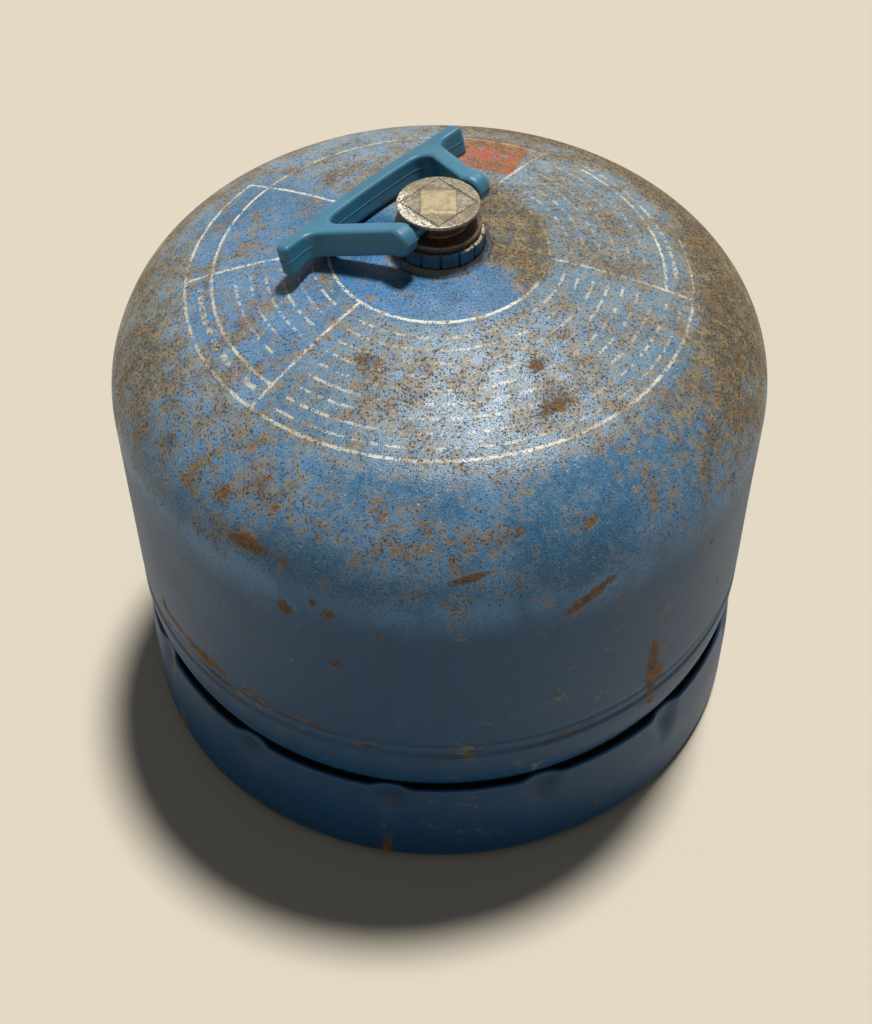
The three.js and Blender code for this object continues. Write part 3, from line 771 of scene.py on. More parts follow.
UPPER_WALL_SPOTS = [
    (40.2, 98.0, 1.6, 9.0, 4, 0.5), (-42.3, 67.0, 9.0, 2.2, -6, 0.8), (116.0, 96.0, 6.0, 4.0, 20, 0.8),
    (140.0, 118.0, 3.0, 8.0, 0, 0.75), (175.0, 80.0, 4.0, 5.0, 0, 0.8), (-160.0, 112.0, 8.0, 2.0, 25, 0.8),
    (-120.0, 74.0, 12.0, 2.2, 0, 0.75), (-100.0, 108.0, 2.4, 2.2, 0, 0.8), (-140.0, 90.0, 2.0, 7.0, 0, 0.65),
    (75.0, 70.0, 6.0, 3.0, 0, 0.8), (92.0, 122.0, 6.0, 2.6, -20, 0.9), (104.0, 74.0, 3.0, 12.0, 2, 0.95),
    (128.0, 68.0, 9.0, 4.0, 0, 0.95), (158.0, 100.0, 7.0, 4.0, 25, 0.95), (-172.0, 68.0, 12.0, 3.4, 0, 0.95),
    (-150.0, 76.0, 3.2, 12.0, -3, 0.95), (-134.0, 116.0, 6.0, 4.0, 10, 0.9), (-108.0, 92.0, 3.0, 5.0, 0, 0.9),
    (-84.0, 70.0, 8.0, 3.4, 0, 0.9), (-72.0, 104.0, 4.0, 3.0, -20, 0.85),
]

# Age of sound paint, at which the paint takes the wall's darker painted-shade blue, and the azimuth of the dome's
# rustier side
SOUND_PAINT = -0.2
RUSTY_SIDE = 115


def upper_shell():
    """Outside from the lower edge over the dome to the boss, then the inside back down, a wall under it."""
    lip = rounded([(BODY - WALL, UPPER_EDGE + 4, 0), (BODY - WALL, UPPER_EDGE, 0.5),
                   (BODY, UPPER_EDGE, 0.6), (BODY, UPPER_EDGE + 4, 0)], closed=False, steps=4)
    wall = np.linspace([BODY, UPPER_EDGE + 4], [BODY, UPPER_KNUCKLE], 36)[1:-1]
    outside = dish(0, BOSS_HOLE, 34, 48) + [0, UPPER_KNUCKLE]
    inside = (dish(WALL, BOSS_HOLE, 12, 16) + [0, UPPER_KNUCKLE])[::-1]
    profile = np.concatenate([lip, wall, outside, inside])
    piece = lathe("upper_shell_skin", profile, 420, dented, True, body="cylinder", slot="blue_paint",
                  nodes=["upper_shell"], material=printed_paint)
    points = places(piece)
    radius, azimuth, height = polar(points)
    lifted = smooth(height, 106, 152)
    inner = smooth(radius, 36, 31)
    back = smooth(np.abs(azimuth - RUSTY_SIDE), 85, 30)
    clean_middle = inner * smooth(np.abs(azimuth + 40), 110, 80)
    clean_left = smooth(radius, 34, 38) * smooth(radius, 76, 72) * smooth(np.abs(azimuth + 90), 55, 35)
    rusty_rim = smooth(radius, 72, 84) * lifted * smooth(np.abs(azimuth - 125), 95, 45)
    grey_rim = smooth(radius, 78, 90) * lifted * smooth(np.abs(azimuth + 125), 85, 45)
    front = smooth(radius, 77, 84) * smooth(np.abs(azimuth), 80, 50)
    age = SOUND_PAINT + (1.06 - 0.22 * front) * lifted + 0.12 * back * lifted
    age = age - 0.55 * clean_middle - 0.3 * clean_left + 0.25 * grey_rim
    stain = 0.95 * rusty_rim + 0.45 * grey_rim
    stain = stain + 0.85 * inner * smooth(np.abs(azimuth - RUSTY_SIDE), 75, 40) * lifted
    near_boss = smooth(radius, 19, 15) * lifted
    seam = smooth(height, UPPER_EDGE + 1.2, UPPER_EDGE + 0.2)
    rust = stains(points, DOME_SPOTS + on_wall(BODY, UPPER_WALL_SPOTS))
    # Darker close round the boss: painted shade at the collar's foot; along the seam: dirt.
    grime = 0.9 * near_boss * smooth(radius, 17.5, 15) + seam * (0.45 + 0.5 * rough(points, 12.0))
    mark(piece, rust=np.maximum(rust, 0.4 * near_boss), age=age, stain=stain, grime=grime, bare=0)


LOWER_SPOTS = [
    (38.0, 55.5, 3.0, 1.6, 0, 0.9), (40.2, 54.5, 2.0, 4.0, 0, 0.9), (-40.0, 55.0, 6.0, 1.4, 0, 0.5),
    (100.0, 50.0, 6.0, 4.0, 0, 0.7), (-130.0, 52.0, 8.0, 3.0, 0, 0.7), (170.0, 49.0, 5.0, 5.0, 0, 0.7),
]


def lower_shell():
    """The lower dish turned over, its skirt, and the lip that goes up inside the upper shell."""
    outside = ([0, LOWER_KNUCKLE] + dish(0, 1e-6, 30, 40) * [1, -1])[::-1]
    inside = [0, LOWER_KNUCKLE] + dish(WALL, 1e-6, 12, 16) * [1, -1]
    top = UPPER_EDGE + JOGGLE_LAP
    step = SHOULDER + JOGGLE_RISE
    lip = rounded([(BODY, SHOULDER - 1.5, 0), (BODY, SHOULDER, 1.2), (RIM, step, 1.0), (RIM, top, 0.4),
                   (RIM - WALL, top, 0.4), (RIM - WALL, step, 1.0), (BODY - WALL, SHOULDER, 1.2),
                   (BODY - WALL, SHOULDER - 1.5, 0)], closed=False, steps=4)
    profile = np.concatenate([outside, lip, inside])
    profile[[0, -1], 0] = 0
    piece = lathe("lower_shell_skin", profile, 360, None, False, body="cylinder", slot="blue_paint",
                  nodes=["lower_shell"], material=blue_paint)
    points = places(piece)
    height = points[:, 2]
    under = smooth(height, 34, 20)
    seam = smooth(height, SHOULDER - 0.9, SHOULDER + 0.2)
    rust = stains(points, on_wall(BODY, LOWER_SPOTS))
    # Darker below the foot ring's top, where the shell is seen through the gap: painted shade; along the seam:
    # dirt.
    grime = (0.35 + 0.5 * rough(points, 10.0)) * seam + 0.6 * smooth(height, 36.5, 33.5)
    mark(piece, rust=np.maximum(rust, 0.3 * under), age=SOUND_PAINT + 0.7 * under, stain=0.5 * under, grime=grime,
         bare=0)


WELD_SPOTS = [
    (-13.7, 60.0, 4.2, 1.6, 0, 1.0), (5.8, 58.8, 5.0, 1.0, 0, 0.9), (23.1, 59.4, 11.0, 1.0, 4, 0.9),
    (-42.3, 62.0, 10.0, 2.0, -6, 0.95), (40.0, 60.0, 3.0, 4.0, 0, 1.0), (-59.0, 61.0, 4.0, 2.0, 0, 0.7),
    (75.0, 60.0, 9.0, 2.0, 0, 0.8), (120.0, 61.0, 14.0, 2.0, 0, 0.8), (165.0, 60.0, 10.0, 2.5, 0, 0.8),
    (-110.0, 61.0, 14.0, 2.0, 0, 0.8), (-150.0, 60.0, 8.0, 2.0, 0, 0.7),
]

# Dark dashes along the seam
SEAM_DASHES = [
    (-34.0, 63.0, 5.0, 0.5, 0, 1.1), (-27.5, 63.1, 4.0, 0.5, 0, 1.1), (-20.0, 63.0, 6.0, 0.45, 0, 1.1),
    (-46.0, 62.6, 6.0, 0.7, 0, 1.1), (-55.0, 62.8, 4.0, 0.6, 0, 1.0), (-12.0, 60.4, 3.6, 0.8, 0, 1.2),
    (6.0, 60.2, 4.6, 0.7, 0, 1.2), (21.0, 60.4, 3.0, 0.7, 0, 1.2), (26.0, 60.8, 4.0, 0.7, 0, 1.2),
    (31.0, 63.0, 4.0, 0.5, 0, 1.0), (62.0, 59.2, 8.0, 0.6, 0, 1.0), (98.0, 63.0, 9.0, 0.6, 0, 1.0),
    (136.0, 59.2, 8.0, 0.6, 0, 1.0), (-92.0, 63.0, 10.0, 0.6, 0, 1.0), (-164.0, 62.9, 9.0, 0.6, 0, 1.0),
]


def girth_weld():
    """A bead in the seam: a low arch across it, with shallow overlapping scales along it."""
    share = np.linspace(0, 1, 17)
    tall = BEAD_TOP - BEAD_BASE
    arch = np.stack([BODY - 0.5 + 0.42 * np.sin(math.pi * share) ** 0.6, BEAD_BASE + tall * share], 1)
    back = np.array([[RIM + 0.3, BEAD_TOP], [RIM + 0.3, BEAD_ROOT]])
    profile = np.concatenate([arch, back])

    def scaled(points):
        """Each scale deepens with the square of its run along the seam; its front is a parabola across."""
        radius, azimuth, height = polar(points)
        across = (height - BEAD_BASE) / tall
        run = np.radians(azimuth) * BODY / BEAD_SCALE + 1.4 * (across - 0.5) ** 2
        run = run + 0.2 * rough(points, 9.0)
        scale = 0.1 * (run - np.floor(run)) ** 2 + 0.07 * rough(points, 3.0)
        outer = smooth(radius, BODY - 1.2, BODY - 0.6)
        return drawn_in(points, outer * np.clip(scale + 0.06, 0, 0.3))

    piece = lathe("girth_weld_bead", profile, 960, scaled, True, body="cylinder", slot="blue_paint",
                  nodes=["girth_weld"], material=blue_paint)
    points = places(piece)
    height = points[:, 2]
    edges = np.maximum(smooth(height, 59.5, 58.8), smooth(height, 62.5, 63.1))
    grime = np.maximum(edges * (0.35 + 0.5 * rough(points, 8.0)), stains(points, on_wall(BODY, SEAM_DASHES)))
    mark(piece, rust=stains(points, on_wall(BODY, WELD_SPOTS)), age=-0.15, stain=0.1, grime=grime, bare=0)


FOOT_SPOTS = [
    (-10.0, 6.5, 3.0, 8.0, 0, 1.0), (-10.4, 18.0, 2.2, 6.0, 0, 0.55), (3.8, 16.4, 2.6, 0.9, 0, 0.9),
    (10.5, 24.0, 0.9, 1.2, 0, 0.8), (-6.0, 20.0, 1.4, 0.8, 0, 0.5), (55.0, 12.0, 3.0, 4.0, 0, 0.7),
    (95.0, 16.0, 4.0, 6.0, 0, 0.8), (140.0, 10.0, 8.0, 5.0, 0, 0.8), (-80.0, 14.0, 4.0, 3.0, 0, 0.7),
    (-130.0, 9.0, 6.0, 5.0, 0, 0.85), (178.0, 20.0, 4.0, 6.0, 0, 0.9), (120.0, 7.0, 9.0, 5.0, 0, 0.95),
    (-150.0, 8.0, 5.0, 9.0, 0, 0.95), (-104.0, 6.0, 10.0, 4.0, 0, 0.9), (-60.0, 6.0, 7.0, 3.4, 0, 0.75),
    (74.0, 7.0, 3.0, 8.0, 0, 0.9), (-34.0, 3.0, 9.0, 2.0, 0, 0.7),
]


def foot_ring():
    """A rolled sheet with a turned-in flange; its rim leans in a little between the dimples."""
    inner, flange = FOOT - FOOT_WALL, FOOT - FOOT_FLANGE
    corners = [(inner, FOOT_TOP, 0.5), (inner, FOOT_WALL, FOOT_BEND - FOOT_WALL), (flange, FOOT_WALL, 0.4),
               (flange, 0, 0.4), (FOOT, 0, FOOT_BEND), (FOOT, FOOT_TOP, 0.6)]
    profile = stepped(rounded(corners, steps=7), 1.3)
    drop = LOWER_KNUCKLE - FOOT_TOP
    depth = inner - (KNUCKLE_RING + math.sqrt(KNUCKLE ** 2 - drop ** 2)) - 0.3

    def dimpled(points):
        """Each dimple is flat in its middle and fades sideways and downwards, with a soft crease under it."""
        radius, azimuth, height = polar(points)
        away = from_nearest(azimuth, DIMPLES, DIMPLE_TURN, FOOT)
        sideways = fade((away - DIMPLE_FLAT / 2) / (DIMPLE_WIDTH / 2 - DIMPLE_FLAT / 2)) ** 1.25
        dimple = depth * sideways * fade((FOOT_TOP - height) / DIMPLE_DROP)
        lean = RIM_LEAN * smooth(height, 20, FOOT_TOP) * (1 - sideways)
        above = height - CREASE_HEIGHT
        crease = CREASE_DEPTH * fade(2 * away / CREASE_WIDTH) * fade(above / 7.5) * fade(-above / 11)
        return drawn_in(points, dimple + lean + crease + 0.12 * np.clip(rough(points, 30.0), 0, 1))

    piece = lathe("foot_ring_skin", profile, 720, dimpled, True, body="cylinder", slot="blue_paint",
                  nodes=["foot_ring"], material=blue_paint)
    points = places(piece)
    radius, azimuth, height = polar(points)
    hem = smooth(height, 5.0, 0.8)
    # Darker on the ring's inner face below its rim: painted shade in the gap; at the hem: dirt.
    inside = smooth(radius, FOOT - 1.0, FOOT - 1.4) * smooth(height, 37.0, 36.0)
    rust = np.maximum(stains(points, on_wall(FOOT, FOOT_SPOTS)), hem * (0.42 + 0.3 * rough(points, 16.0)))
    mark(piece, rust=rust, age=SOUND_PAINT + 0.5 * hem, stain=0.4 * hem, grime=0.5 * inside + 0.3 * hem, bare=0)


def thread(points, crest, low, high):
    """Moves a bore's or stem's wall in and out by a cosine along a helix, fading out at both ends."""
    radius, azimuth, height = polar(points)
    phase = 2 * math.pi * (height / PITCH - azimuth / 360)
    wave = THREAD_DEPTH * np.cos(phase) * smooth(height, low, low + 0.8) * smooth(height, high, high - 0.8)
    return drawn_in(points, -np.where(np.abs(radius - crest) < 0.05, wave, 0))


def valve_boss():
    """A turned collar with a threaded socket, narrow flutes down its outside and the valve chamber below."""
    profile = stepped(rounded([
        (8.2, COLLAR_TOP, 0.15), (BORE, COLLAR_TOP - 0.6, 0.15), (BORE, THREAD_END, 0.3), (PORT, THREAD_END, 0.2),
        (PORT, THREAD_END - 2, 0.2), (CHAMBER, THREAD_END - 2, 0.3), (CHAMBER, RETAINER_BASE - 0.2, 0.05),
        (CHAMBER - 1, RETAINER_BASE - 0.2, 0.05), (CHAMBER - 1, BOSS_END, 0.2), (SPIGOT - 1, BOSS_END, 0.2),
        (SPIGOT, BOSS_END + 1, 0.2), (SPIGOT, COLLAR_SEAT, 0.2), (COLLAR, COLLAR_SEAT, 0.4),
        (COLLAR, COLLAR_TOP - 0.5, 0.3), (COLLAR - 0.5, COLLAR_TOP, 0.3)], steps=3), 0.9)

    def cut(points):
        """The thread in the socket, and each flute as a narrow trough with steep sides."""
        points = thread(points, BORE, THREAD_END + 0.6, COLLAR_TOP - 0.7)
        radius, azimuth, height = polar(points)
        away = from_nearest(azimuth, FLUTES, FLUTE_TURN, COLLAR)
        groove = FLUTE_DEPTH * smooth(away, 0.45, 0.25) * smooth(radius, COLLAR - 1.2, COLLAR - 0.4)
        return drawn_in(points, groove * smooth(height, COLLAR_SEAT - 1, COLLAR_SEAT - 0.5))

    piece = lathe("valve_boss_turning", profile, 600, cut, True, body="cylinder", slot="blue_paint",
                  nodes=["valve_boss"], material=blue_paint)
    points = places(piece)
    radius, azimuth, height = polar(points)
    top = smooth(height, COLLAR_TOP - 0.9, COLLAR_TOP - 0.25)
    flute = smooth(radius, COLLAR - 0.15, COLLAR - 0.4) * smooth(radius, COLLAR - 1.0, COLLAR - 0.7)
    foot = smooth(height, COLLAR_SEAT + 1.8, COLLAR_SEAT + 0.2)
    right = smooth(np.abs(azimuth - 75), 75, 25)
    # Darker over the whole collar, less on its lit right side, more at its foot and in the flutes: painted shade.
    in_flutes = 0.8 * flute * smooth(height, COLLAR_TOP - 0.2, COLLAR_TOP - 0.6)
    mark(piece, rust=0.5 * foot + 0.75 * top, age=0, stain=0.3 * foot,
         grime=np.maximum(in_flutes, 0.5 * foot + 0.55 - 0.15 * right),
         bare=0.7 * top * smooth(radius, 11.8, 12.3) * right)


def boss_weld():
    """A concave fillet of weld between collar and dome, with small scales along it."""
    inner, outer = COLLAR + 0.3, COLLAR + 2.3
    high, low = (APEX - CROWN + math.sqrt(CROWN ** 2 - radius ** 2) - 0.1 for radius in (inner, outer))
    share = np.linspace(0, 1, 12)
    edge, top = low + 0.02, high + FILLET_RISE
    face = np.stack([outer - (outer - inner) * share, edge + (top - edge) * share ** 2.2], 1)
    profile = np.concatenate([face, [[inner, high], [outer, low]]])

    def scaled(points):
        """Each scale sinks with the square of its run along the weld."""
        radius, azimuth, height = polar(points)
        run = np.radians(azimuth) * outer / FILLET_SCALE + 0.2 * rough(points, 4.0)
        sink = 0.14 * (run - np.floor(run)) ** 2 * smooth(height, low + 0.1, low + 0.4)
        return points - sink[..., None] * [0, 0, 1]

    lathe("boss_weld_bead", profile, 300, scaled, True, body="cylinder", slot="rusty_steel",
          nodes=["boss_weld"], material=weld_rust)


def screw_plug():
    """Head, neck, flange and threaded stem; the head's top carries a raised square and a cut square line."""
    face = HEAD - 0.7
    side = rounded([(0, STEM_END, 0), (STEM - 1, STEM_END, 0.2), (STEM, STEM_END + 1, 0.2),
                    (STEM, FLANGE_SEAT, 0.3), (FLANGE, FLANGE_SEAT, 0.25), (FLANGE, FLANGE_TOP, 0.4),
                    (NECK, FLANGE_TOP, 0.6), (NECK, HEAD_SEAT, 0.5), (HEAD, HEAD_SEAT, 0.3), (HEAD, HEAD_TOP, 0.4),
                    (face, HEAD_TOP, 0)], closed=False, steps=3)
    side = stepped(side, 0.45, closed=False)
    top = np.linspace([face, HEAD_TOP], [0, HEAD_TOP], 96)[1:]
    profile = np.concatenate([side, top])
    hinge_x, hinge_y = math.cos(HANDLE_TURN), math.sin(HANDLE_TURN)

    def shaped(points):
        """The thread, the relief of the head's top, and the neck pressed in where the handle's pins enter."""
        points = thread(points, STEM, STEM_END + 1.2, FLANGE_SEAT - 0.6)
        x, y, height = points[..., 0], points[..., 1], points[..., 2]
        radius = np.hypot(x, y)
        on_top = (height > HEAD_TOP - 1e-6) & (radius < HEAD - 0.5)
        square = np.maximum(np.abs(x), np.abs(y))
        diamond = (np.abs(x) + np.abs(y)) / math.sqrt(2)
        relief = PAD_RISE * smooth(square, PAD_HALF, PAD_HALF - 0.6)
        relief = relief - LINE_DEPTH * smooth(np.abs(diamond - LINE_HALF), 0.27, 0.1)
        relief = relief + 0.04 * np.clip(rough(points, 2.2), -1, 1)
        along, off = np.abs(x * hinge_x + y * hinge_y), x * hinge_y - y * hinge_x
        hole = np.hypot(off, height - HINGE) < PIN + 0.3
        bored = hole & (np.abs(radius - NECK) < 0.4)
        shrink = np.where(bored, (PIN_END - 0.4) / np.maximum(along, 1e-6), 1)
        return np.stack([x * shrink, y * shrink, height + np.where(on_top, relief, 0)], -1)

    piece = lathe("screw_plug_turning", profile, 400, shaped, False, body="plug", slot="worn_zinc",
                  nodes=["screw_plug"], material=worn_zinc)
    points = places(piece)
    radius, azimuth, height = polar(points)
    low = smooth(height, HEAD_SEAT + 0.2, HEAD_SEAT - 0.4)
    rim = smooth(radius, HEAD - 1.2, HEAD) * smooth(height, HEAD_TOP - 0.9, HEAD_TOP - 0.2)
    line = smooth(height, HEAD_TOP - 0.12, HEAD_TOP - 0.3) * smooth(radius, HEAD - 0.6, HEAD - 0.9)
    line = line * smooth(height, HEAD_SEAT, HEAD_SEAT + 0.4)
    edge = smooth(radius, FLANGE - 0.7, FLANGE - 0.2)
    left_rim = smooth(radius, 6.5, 10.5) * smooth(np.abs(azimuth + 60), 90, 40)
    mark(piece, soil=np.maximum(0.95 * low - 0.3 * edge, 0.7 * line) + 0.2 * rim,
         pad=smooth(height, HEAD_TOP + 0.1, HEAD_TOP + 0.2),
         flecked=smooth(height, HEAD_TOP - 0.3, HEAD_TOP - 0.1) * (0.15 + 0.85 * left_rim))


def plug_gasket():
    """A flat washer with rounded edges."""
    profile = rounded([(GASKET_HOLE, GASKET_BASE, 0.2), (GASKET, GASKET_BASE, 0.3),
                       (GASKET, GASKET_TOP, 0.3), (GASKET_HOLE, GASKET_TOP, 0.2)])
    lathe("plug_gasket_washer", profile, 160, None, True, body="gasket", slot="black_rubber",
          nodes=["plug_gasket"], material=black_rubber)


def valve_pieces():
    """Inside the boss: rubber seal, retainer and ball, a half circle carried round the axis."""
    seal = rounded([(SEAL_HOLE, SEAL_BASE, 0.5), (IN_CHAMBER, SEAL_BASE, 0.3),
                    (IN_CHAMBER, SEAL_TOP, 0.3), (SEAL_HOLE, SEAL_TOP, 0.3)])
    lathe("valve_seal_ring", seal, 96, None, True, body="cylinder", slot="black_rubber",
          nodes=["valve_seal"], material=black_rubber)
    retainer = rounded([(RETAINER_HOLE, RETAINER_BASE, 0.3), (IN_CHAMBER, RETAINER_BASE, 0.2),
                        (IN_CHAMBER, RETAINER_TOP, 0.2), (RETAINER_HOLE, RETAINER_TOP, 0.3)])
    lathe("spring_retainer_washer", retainer, 96, None, True, body="cylinder", slot="bright_steel",
          nodes=["spring_retainer"], material=bright_steel)
    angle = np.linspace(-math.pi / 2, math.pi / 2, 33)
    ball = np.stack([BALL * np.cos(angle), BALL_HEIGHT + BALL * np.sin(angle)], 1)
    ball[[0, -1], 0] = 0
    lathe("valve_ball_round", ball, 64, None, False, body="valve", slot="bright_steel",
          nodes=["valve_ball"], material=bright_steel)


def valve_spring():
    """A round wire carried along a helix, its ends closed flat."""
    steps, sides = 301, 14
    turn = np.linspace(0, 2 * math.pi * SPRING_TURNS, steps)
    rise = np.linspace(SPRING_BASE, SPRING_TOP, steps)
    centre = np.stack([COIL * np.cos(turn), COIL * np.sin(turn), rise], 1)
    ahead = np.gradient(centre, axis=0)
    ahead /= np.linalg.norm(ahead, axis=1)[:, None]
    out = np.stack([np.cos(turn), np.sin(turn), 0 * turn], 1)
    up = np.cross(ahead, out)
    around = np.linspace(0, 2 * math.pi, sides, endpoint=False)[:, None, None]
    wire = centre + WIRE * (np.cos(around) * out + np.sin(around) * up)
    ends = [np.broadcast_to(end, (sides, 1, 3)) for end in (centre[0], centre[-1])]
    points = np.concatenate([ends[0], wire, ends[1]], 1)
    piece = made("valve_spring_wire", [(points.reshape(-1, 3), grid_faces(sides, steps + 2, False))],
                 "cylinder", "bright_steel", ["valve_spring"], bright_steel)
    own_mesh(piece)


def handle_outline(nose):
    """The handle's outline in its own plane, rounded and then bowed towards the hinge at its tips."""
    bar_inside, bar_outside = BAR_REACH - BAR_WIDTH / 2, BAR_REACH + BAR_WIDTH / 2
    foot_top = 1.6
    splay = math.atan2(ARM_SPREAD / 2 - FOOT_INSIDE - ARM_WIDTH / 2, BAR_REACH - foot_top)
    foot_outside = FOOT_INSIDE + ARM_WIDTH / math.cos(splay)
    reach = (bar_inside - foot_top) * math.tan(splay)
    half = [(FOOT_INSIDE + reach, bar_inside, 4.0), (FOOT_INSIDE, foot_top, 3.0), (FOOT_INSIDE, nose, 0.6),
            (foot_outside, nose, 2.2), (foot_outside, foot_top, 3.0), (foot_outside + reach, bar_inside, 4.5),
            (HANDLE_TIP, bar_inside, 2.4), (HANDLE_TIP, bar_outside, 2.4)]
    other = [(-x, y, radius) for x, y, radius in reversed(half)]
    path = stepped(rounded(half + other, steps=7), 1.5)
    share = np.clip(path[:, 1] / BAR_REACH, 0, 1)
    path[:, 1] -= BAR_BOW * share * (path[:, 0] / HANDLE_TIP) ** 2
    return path, foot_outside


def outline_distance(x, y, path):
    """Signed distance from points to a closed path, negative inside it."""
    nearest, inside = np.full(x.shape, np.inf), np.zeros(x.shape, bool)
    for (ax, ay), (bx, by) in zip(path, np.roll(path, -1, 0)):
        dx, dy = bx - ax, by - ay
        share = np.clip(((x - ax) * dx + (y - ay) * dy) / (dx * dx + dy * dy), 0, 1)
        nearest = np.minimum(nearest, (x - ax - share * dx) ** 2 + (y - ay - share * dy) ** 2)
        if ay != by:
            inside ^= ((ay > y) != (by > y)) & (x < ax + (y - ay) * dx / dy)
    return np.where(inside, -1, 1) * np.sqrt(nearest)


def rounded_cut(first, second, radius):
    """Where two half-spaces meet, given as distances: their common inside with its edge rounded off."""
    first, second = first + radius, second + radius
    return np.minimum(np.maximum(first, second), 0) + np.hypot(np.maximum(first, 0), np.maximum(second, 0)) - radius


def merged(first, second, radius):
    """The union of two distances with a fillet."""
    share = np.clip(0.5 + (second - first) / (2 * radius), 0, 1)
    return second + (first - second) * share - radius * share * (1 - share)


def zero_surface(field, low, step):
    """The closed surface where a sampled field crosses zero: one point in each crossed cell, at the mean
    of its edges' crossings, and one four-sided face for each crossed edge."""
    size = np.array(field.shape) - 1
    cells = {corner: field[tuple(slice(c, c + n) for c, n in zip(corner, size))] for corner in np.ndindex(2, 2, 2)}
    total, hits = np.zeros((*size, 3)), np.zeros(tuple(size))
    for corner, value in cells.items():
        for axis in range(3):
            if corner[axis]:
                continue
            other = cells[tuple(c + (i == axis) for i, c in enumerate(corner))]
            cut = (value < 0) != (other < 0)
            share = np.where(cut, value / np.where(cut, value - other, 1), 0)
            hits += cut
            for i in range(3):
                total[..., i] += cut * (corner[i] + (share if i == axis else 0))
    crossed = hits > 0
    index = np.full(tuple(size), -1)
    index[crossed] = np.arange(crossed.sum())
    points = low + step * (np.argwhere(crossed) + total[crossed] / hits[crossed][:, None])
    faces = []
    inside = field < 0
    for axis in range(3):
        one, two = [i for i in range(3) if i != axis]
        start = [slice(1, -1)] * 3
        start[axis] = slice(0, -1)
        end = list(start)
        end[axis] = slice(1, None)
        at = np.argwhere(inside[tuple(start)] != inside[tuple(end)]) + [0 if i == axis else 1 for i in range(3)]
        back = np.eye(3, dtype=int)
        ring = [at - back[one] - back[two], at - back[two], at, at - back[one]]
        faces.append(np.stack([index[tuple(place.T)] for place in ring], 1))
    return points, np.concatenate(faces)


def carry_handle():
    """A moulded slab of the outline with rounded edges, merged with a round knuckle and pin at each foot.

    It is the zero surface of a field of distances; a thin bead along the outline is the mould's parting line.
    """
    path, foot_outside = handle_outline(-1.6)
    step = 0.32
    low, high = np.array([-40.6, -5.6, -6.0]), np.array([40.6, 32.6, 6.0])
    counts = np.ceil((high - low) / step).astype(int)
    rulers = [start + step * np.arange(count + 1) for start, count in zip(low, counts)]
    x, y, z = np.meshgrid(*rulers, indexing="ij", sparse=True)
    plan = outline_distance(x[:, :, 0] + 0 * y[:, :, 0], y[:, :, 0] + 0 * x[:, :, 0], path)[:, :, None]
    half = HANDLE_HALF - 0.1 + 0.6 * smooth(np.abs(x), 26, HANDLE_TIP)
    slab = rounded_cut(plan, np.abs(z) - half, HANDLE_EDGE)
    end = rounded_cut(np.abs(x) - HANDLE_TIP, np.abs(z) - half, HANDLE_END)
    slab = -merged(-slab, -end, 0.7)
    spread = np.hypot(y, z)
    middle, wide = (foot_outside + FOOT_INSIDE) / 2, (foot_outside - FOOT_INSIDE) / 2
    knuckle = rounded_cut(spread - HANDLE_HALF + 0.12, np.abs(np.abs(x) - middle) - wide, 1.5)
    pin = np.maximum(spread - PIN, np.maximum(np.abs(x) - middle, PIN_END - np.abs(x)))
    field = np.minimum(merged(slab, knuckle, 0.45), pin)
    body = zero_surface(field, low, step)

    seam, _ = handle_outline(-HANDLE_HALF)
    ahead = np.roll(seam, -1, 0) - np.roll(seam, 1, 0)
    ahead /= np.linalg.norm(ahead, axis=1)[:, None]
    out = np.stack([ahead[:, 1], -ahead[:, 0]], 1)
    around = np.linspace(0, 2 * math.pi, 8, endpoint=False)[:, None]
    rise, side = PARTING_RISE * np.cos(around), PARTING_HALF * np.sin(around)
    bead = np.stack([seam[:, 0] + rise * out[:, 0], seam[:, 1] + rise * out[:, 1],
                     np.broadcast_to(side, (len(around), len(seam)))], 2)
    line = (bead.reshape(-1, 3), grid_faces(len(around), len(seam), True))

    def placed(points):
        """From the handle's own plane to the part: tilt about the hinge, turn about Z, lift to the hinge."""
        px, py, pz = points.T
        py, pz = (py * math.cos(HANDLE_TILT) + pz * math.sin(HANDLE_TILT),
                  pz * math.cos(HANDLE_TILT) - py * math.sin(HANDLE_TILT))
        return np.stack([px * math.cos(HANDLE_TURN) - py * math.sin(HANDLE_TURN),
                         px * math.sin(HANDLE_TURN) + py * math.cos(HANDLE_TURN), pz + HINGE], 1)

    made("carry_handle_moulding", [(placed(points), faces) for points, faces in (body, line)], "handle",
         "teal_plastic", ["carry_handle"], teal_plastic, sharp=60)


upper_shell()
lower_shell()
girth_weld()
foot_ring()
valve_boss()
boss_weld()
screw_plug()
plug_gasket()
valve_pieces()
valve_spring()
carry_handle()


def floor():
    """A plain pale floor."""
    mesh = bpy.data.meshes.new("floor")
    far = 6.0
    mesh.from_pydata([(-far, -far, 0), (far, -far, 0), (far, far, 0), (-far, far, 0)], [], [(0, 1, 2, 3)])
    piece = bpy.data.objects.new("floor", mesh)
    bpy.context.scene.collection.objects.link(piece)
    material, shader, _ = finish_of("pale_floor")
    feed(shader, Base_Color=colour(196, 188, 172), Roughness=0.9)
    mesh.materials.append(material)


def lamp(name, kind, place, towards, **settings):
    """A lamp of a kind at a place, shining along a direction."""
    data = bpy.data.lights.new(name, kind)
    for setting, value in settings.items():
        setattr(data, setting, value)
    light = bpy.data.objects.new(name, data)
    bpy.context.scene.collection.objects.link(light)
    light.location = place
    light.rotation_euler = Vector(towards).to_track_quat("-Z", "Y").to_euler()


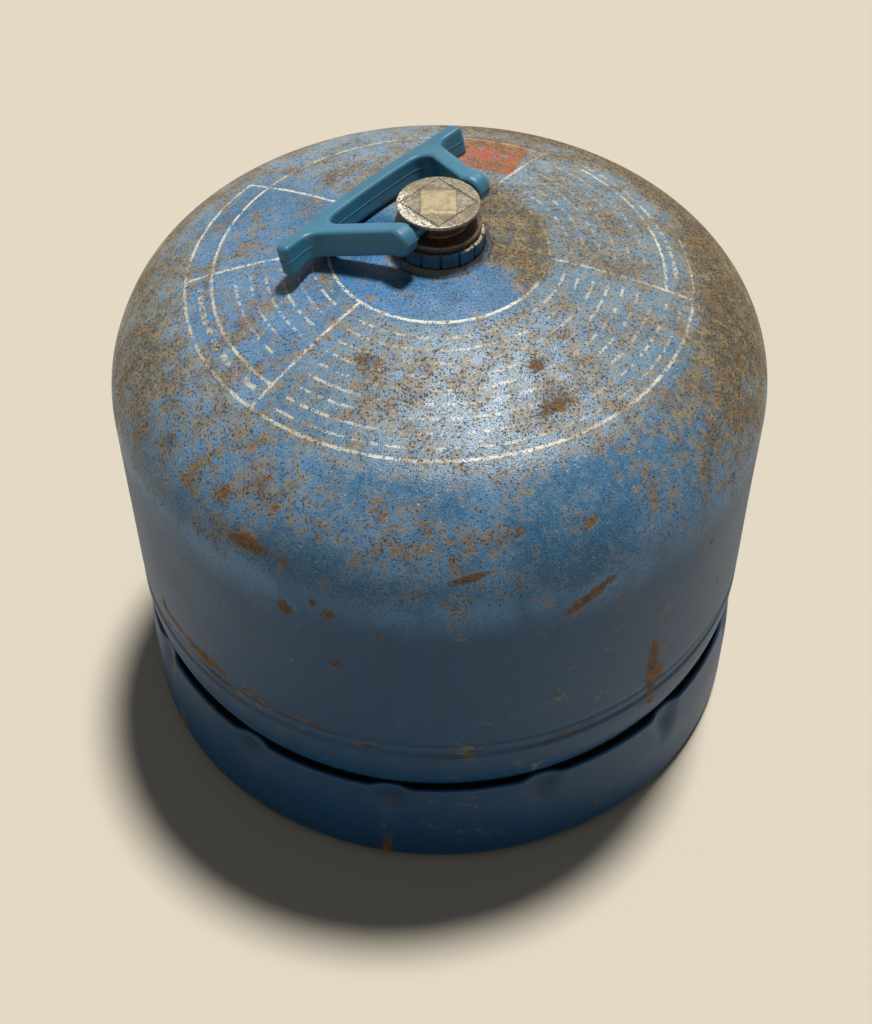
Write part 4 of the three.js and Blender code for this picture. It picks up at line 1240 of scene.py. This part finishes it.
def surround():
    """Soft light from all round; seen directly or in a reflection, it is as pale as the floor."""
    world = bpy.data.worlds.new("studio")
    world.use_nodes = True
    start = Shade(world.node_tree)
    rays = start.node("LightPath").socket.node.outputs
    kinds = ("Is Camera Ray", "Is Glossy Ray", "Is Transmission Ray")
    seen, shine, through = (Shade(start.tree, rays[kind]) for kind in kinds)
    soft = start.node("Background", None, {"Color": (0.92, 0.95, 1.0, 1), "Strength": 0.085})
    pale = start.node("Background", None, {"Color": colour(238, 227, 208), "Strength": 1.0})
    both = start.node("MixShader", None, {0: seen.most(shine).most(through), 1: soft, 2: pale})
    start.tree.links.new(both.socket, start.tree.nodes["World Output"].inputs["Surface"])
    bpy.context.scene.world = world


def camera():
    """The photograph's camera: place, pitch, small yaw and roll, and its angle of view."""
    pitch, yaw, roll = 0.8325, 0.0035, -0.0079
    ahead = np.array([0, math.cos(pitch), -math.sin(pitch)])
    up, right = np.array([0, math.sin(pitch), math.cos(pitch)]), np.array([1.0, 0, 0])
    turn = np.array([[math.cos(yaw), -math.sin(yaw), 0], [math.sin(yaw), math.cos(yaw), 0], [0, 0, 1]])
    ahead, up, right = turn @ ahead, turn @ up, turn @ right
    right, up = math.cos(roll) * right + math.sin(roll) * up, math.cos(roll) * up - math.sin(roll) * right
    photo_width, focal, sensor = 872, 1698.7, 36.0
    data = bpy.data.cameras.new("camera")
    data.sensor_fit, data.sensor_width, data.lens = "HORIZONTAL", sensor, focal * sensor / photo_width
    data.clip_start = 0.01
    eye = bpy.data.objects.new("camera", data)
    bpy.context.scene.collection.objects.link(eye)
    frame_of_eye = np.eye(4)
    frame_of_eye[:3, 0], frame_of_eye[:3, 1], frame_of_eye[:3, 2] = right, up, -ahead
    frame_of_eye[:3, 3] = np.array([0, -391.99, 487.64]) * MM
    eye.matrix_world = Matrix(frame_of_eye.tolist())
    bpy.context.scene.camera = eye


floor()
# A far soft light from above, behind and to the right, which lights the floor evenly, and a weak fill in front
lamp("key", "SUN", (0, 0, 0), (-0.13, -0.27, -1.05), energy=4.2, angle=0.14, color=(1.0, 0.97, 0.93))
lamp("fill", "AREA", (-0.7, -1.1, 0.9), (0.7, 1.1, -0.8), size=1.2, energy=0.45)
camera()
surround()
bpy.context.scene.view_settings.view_transform = "Standard"
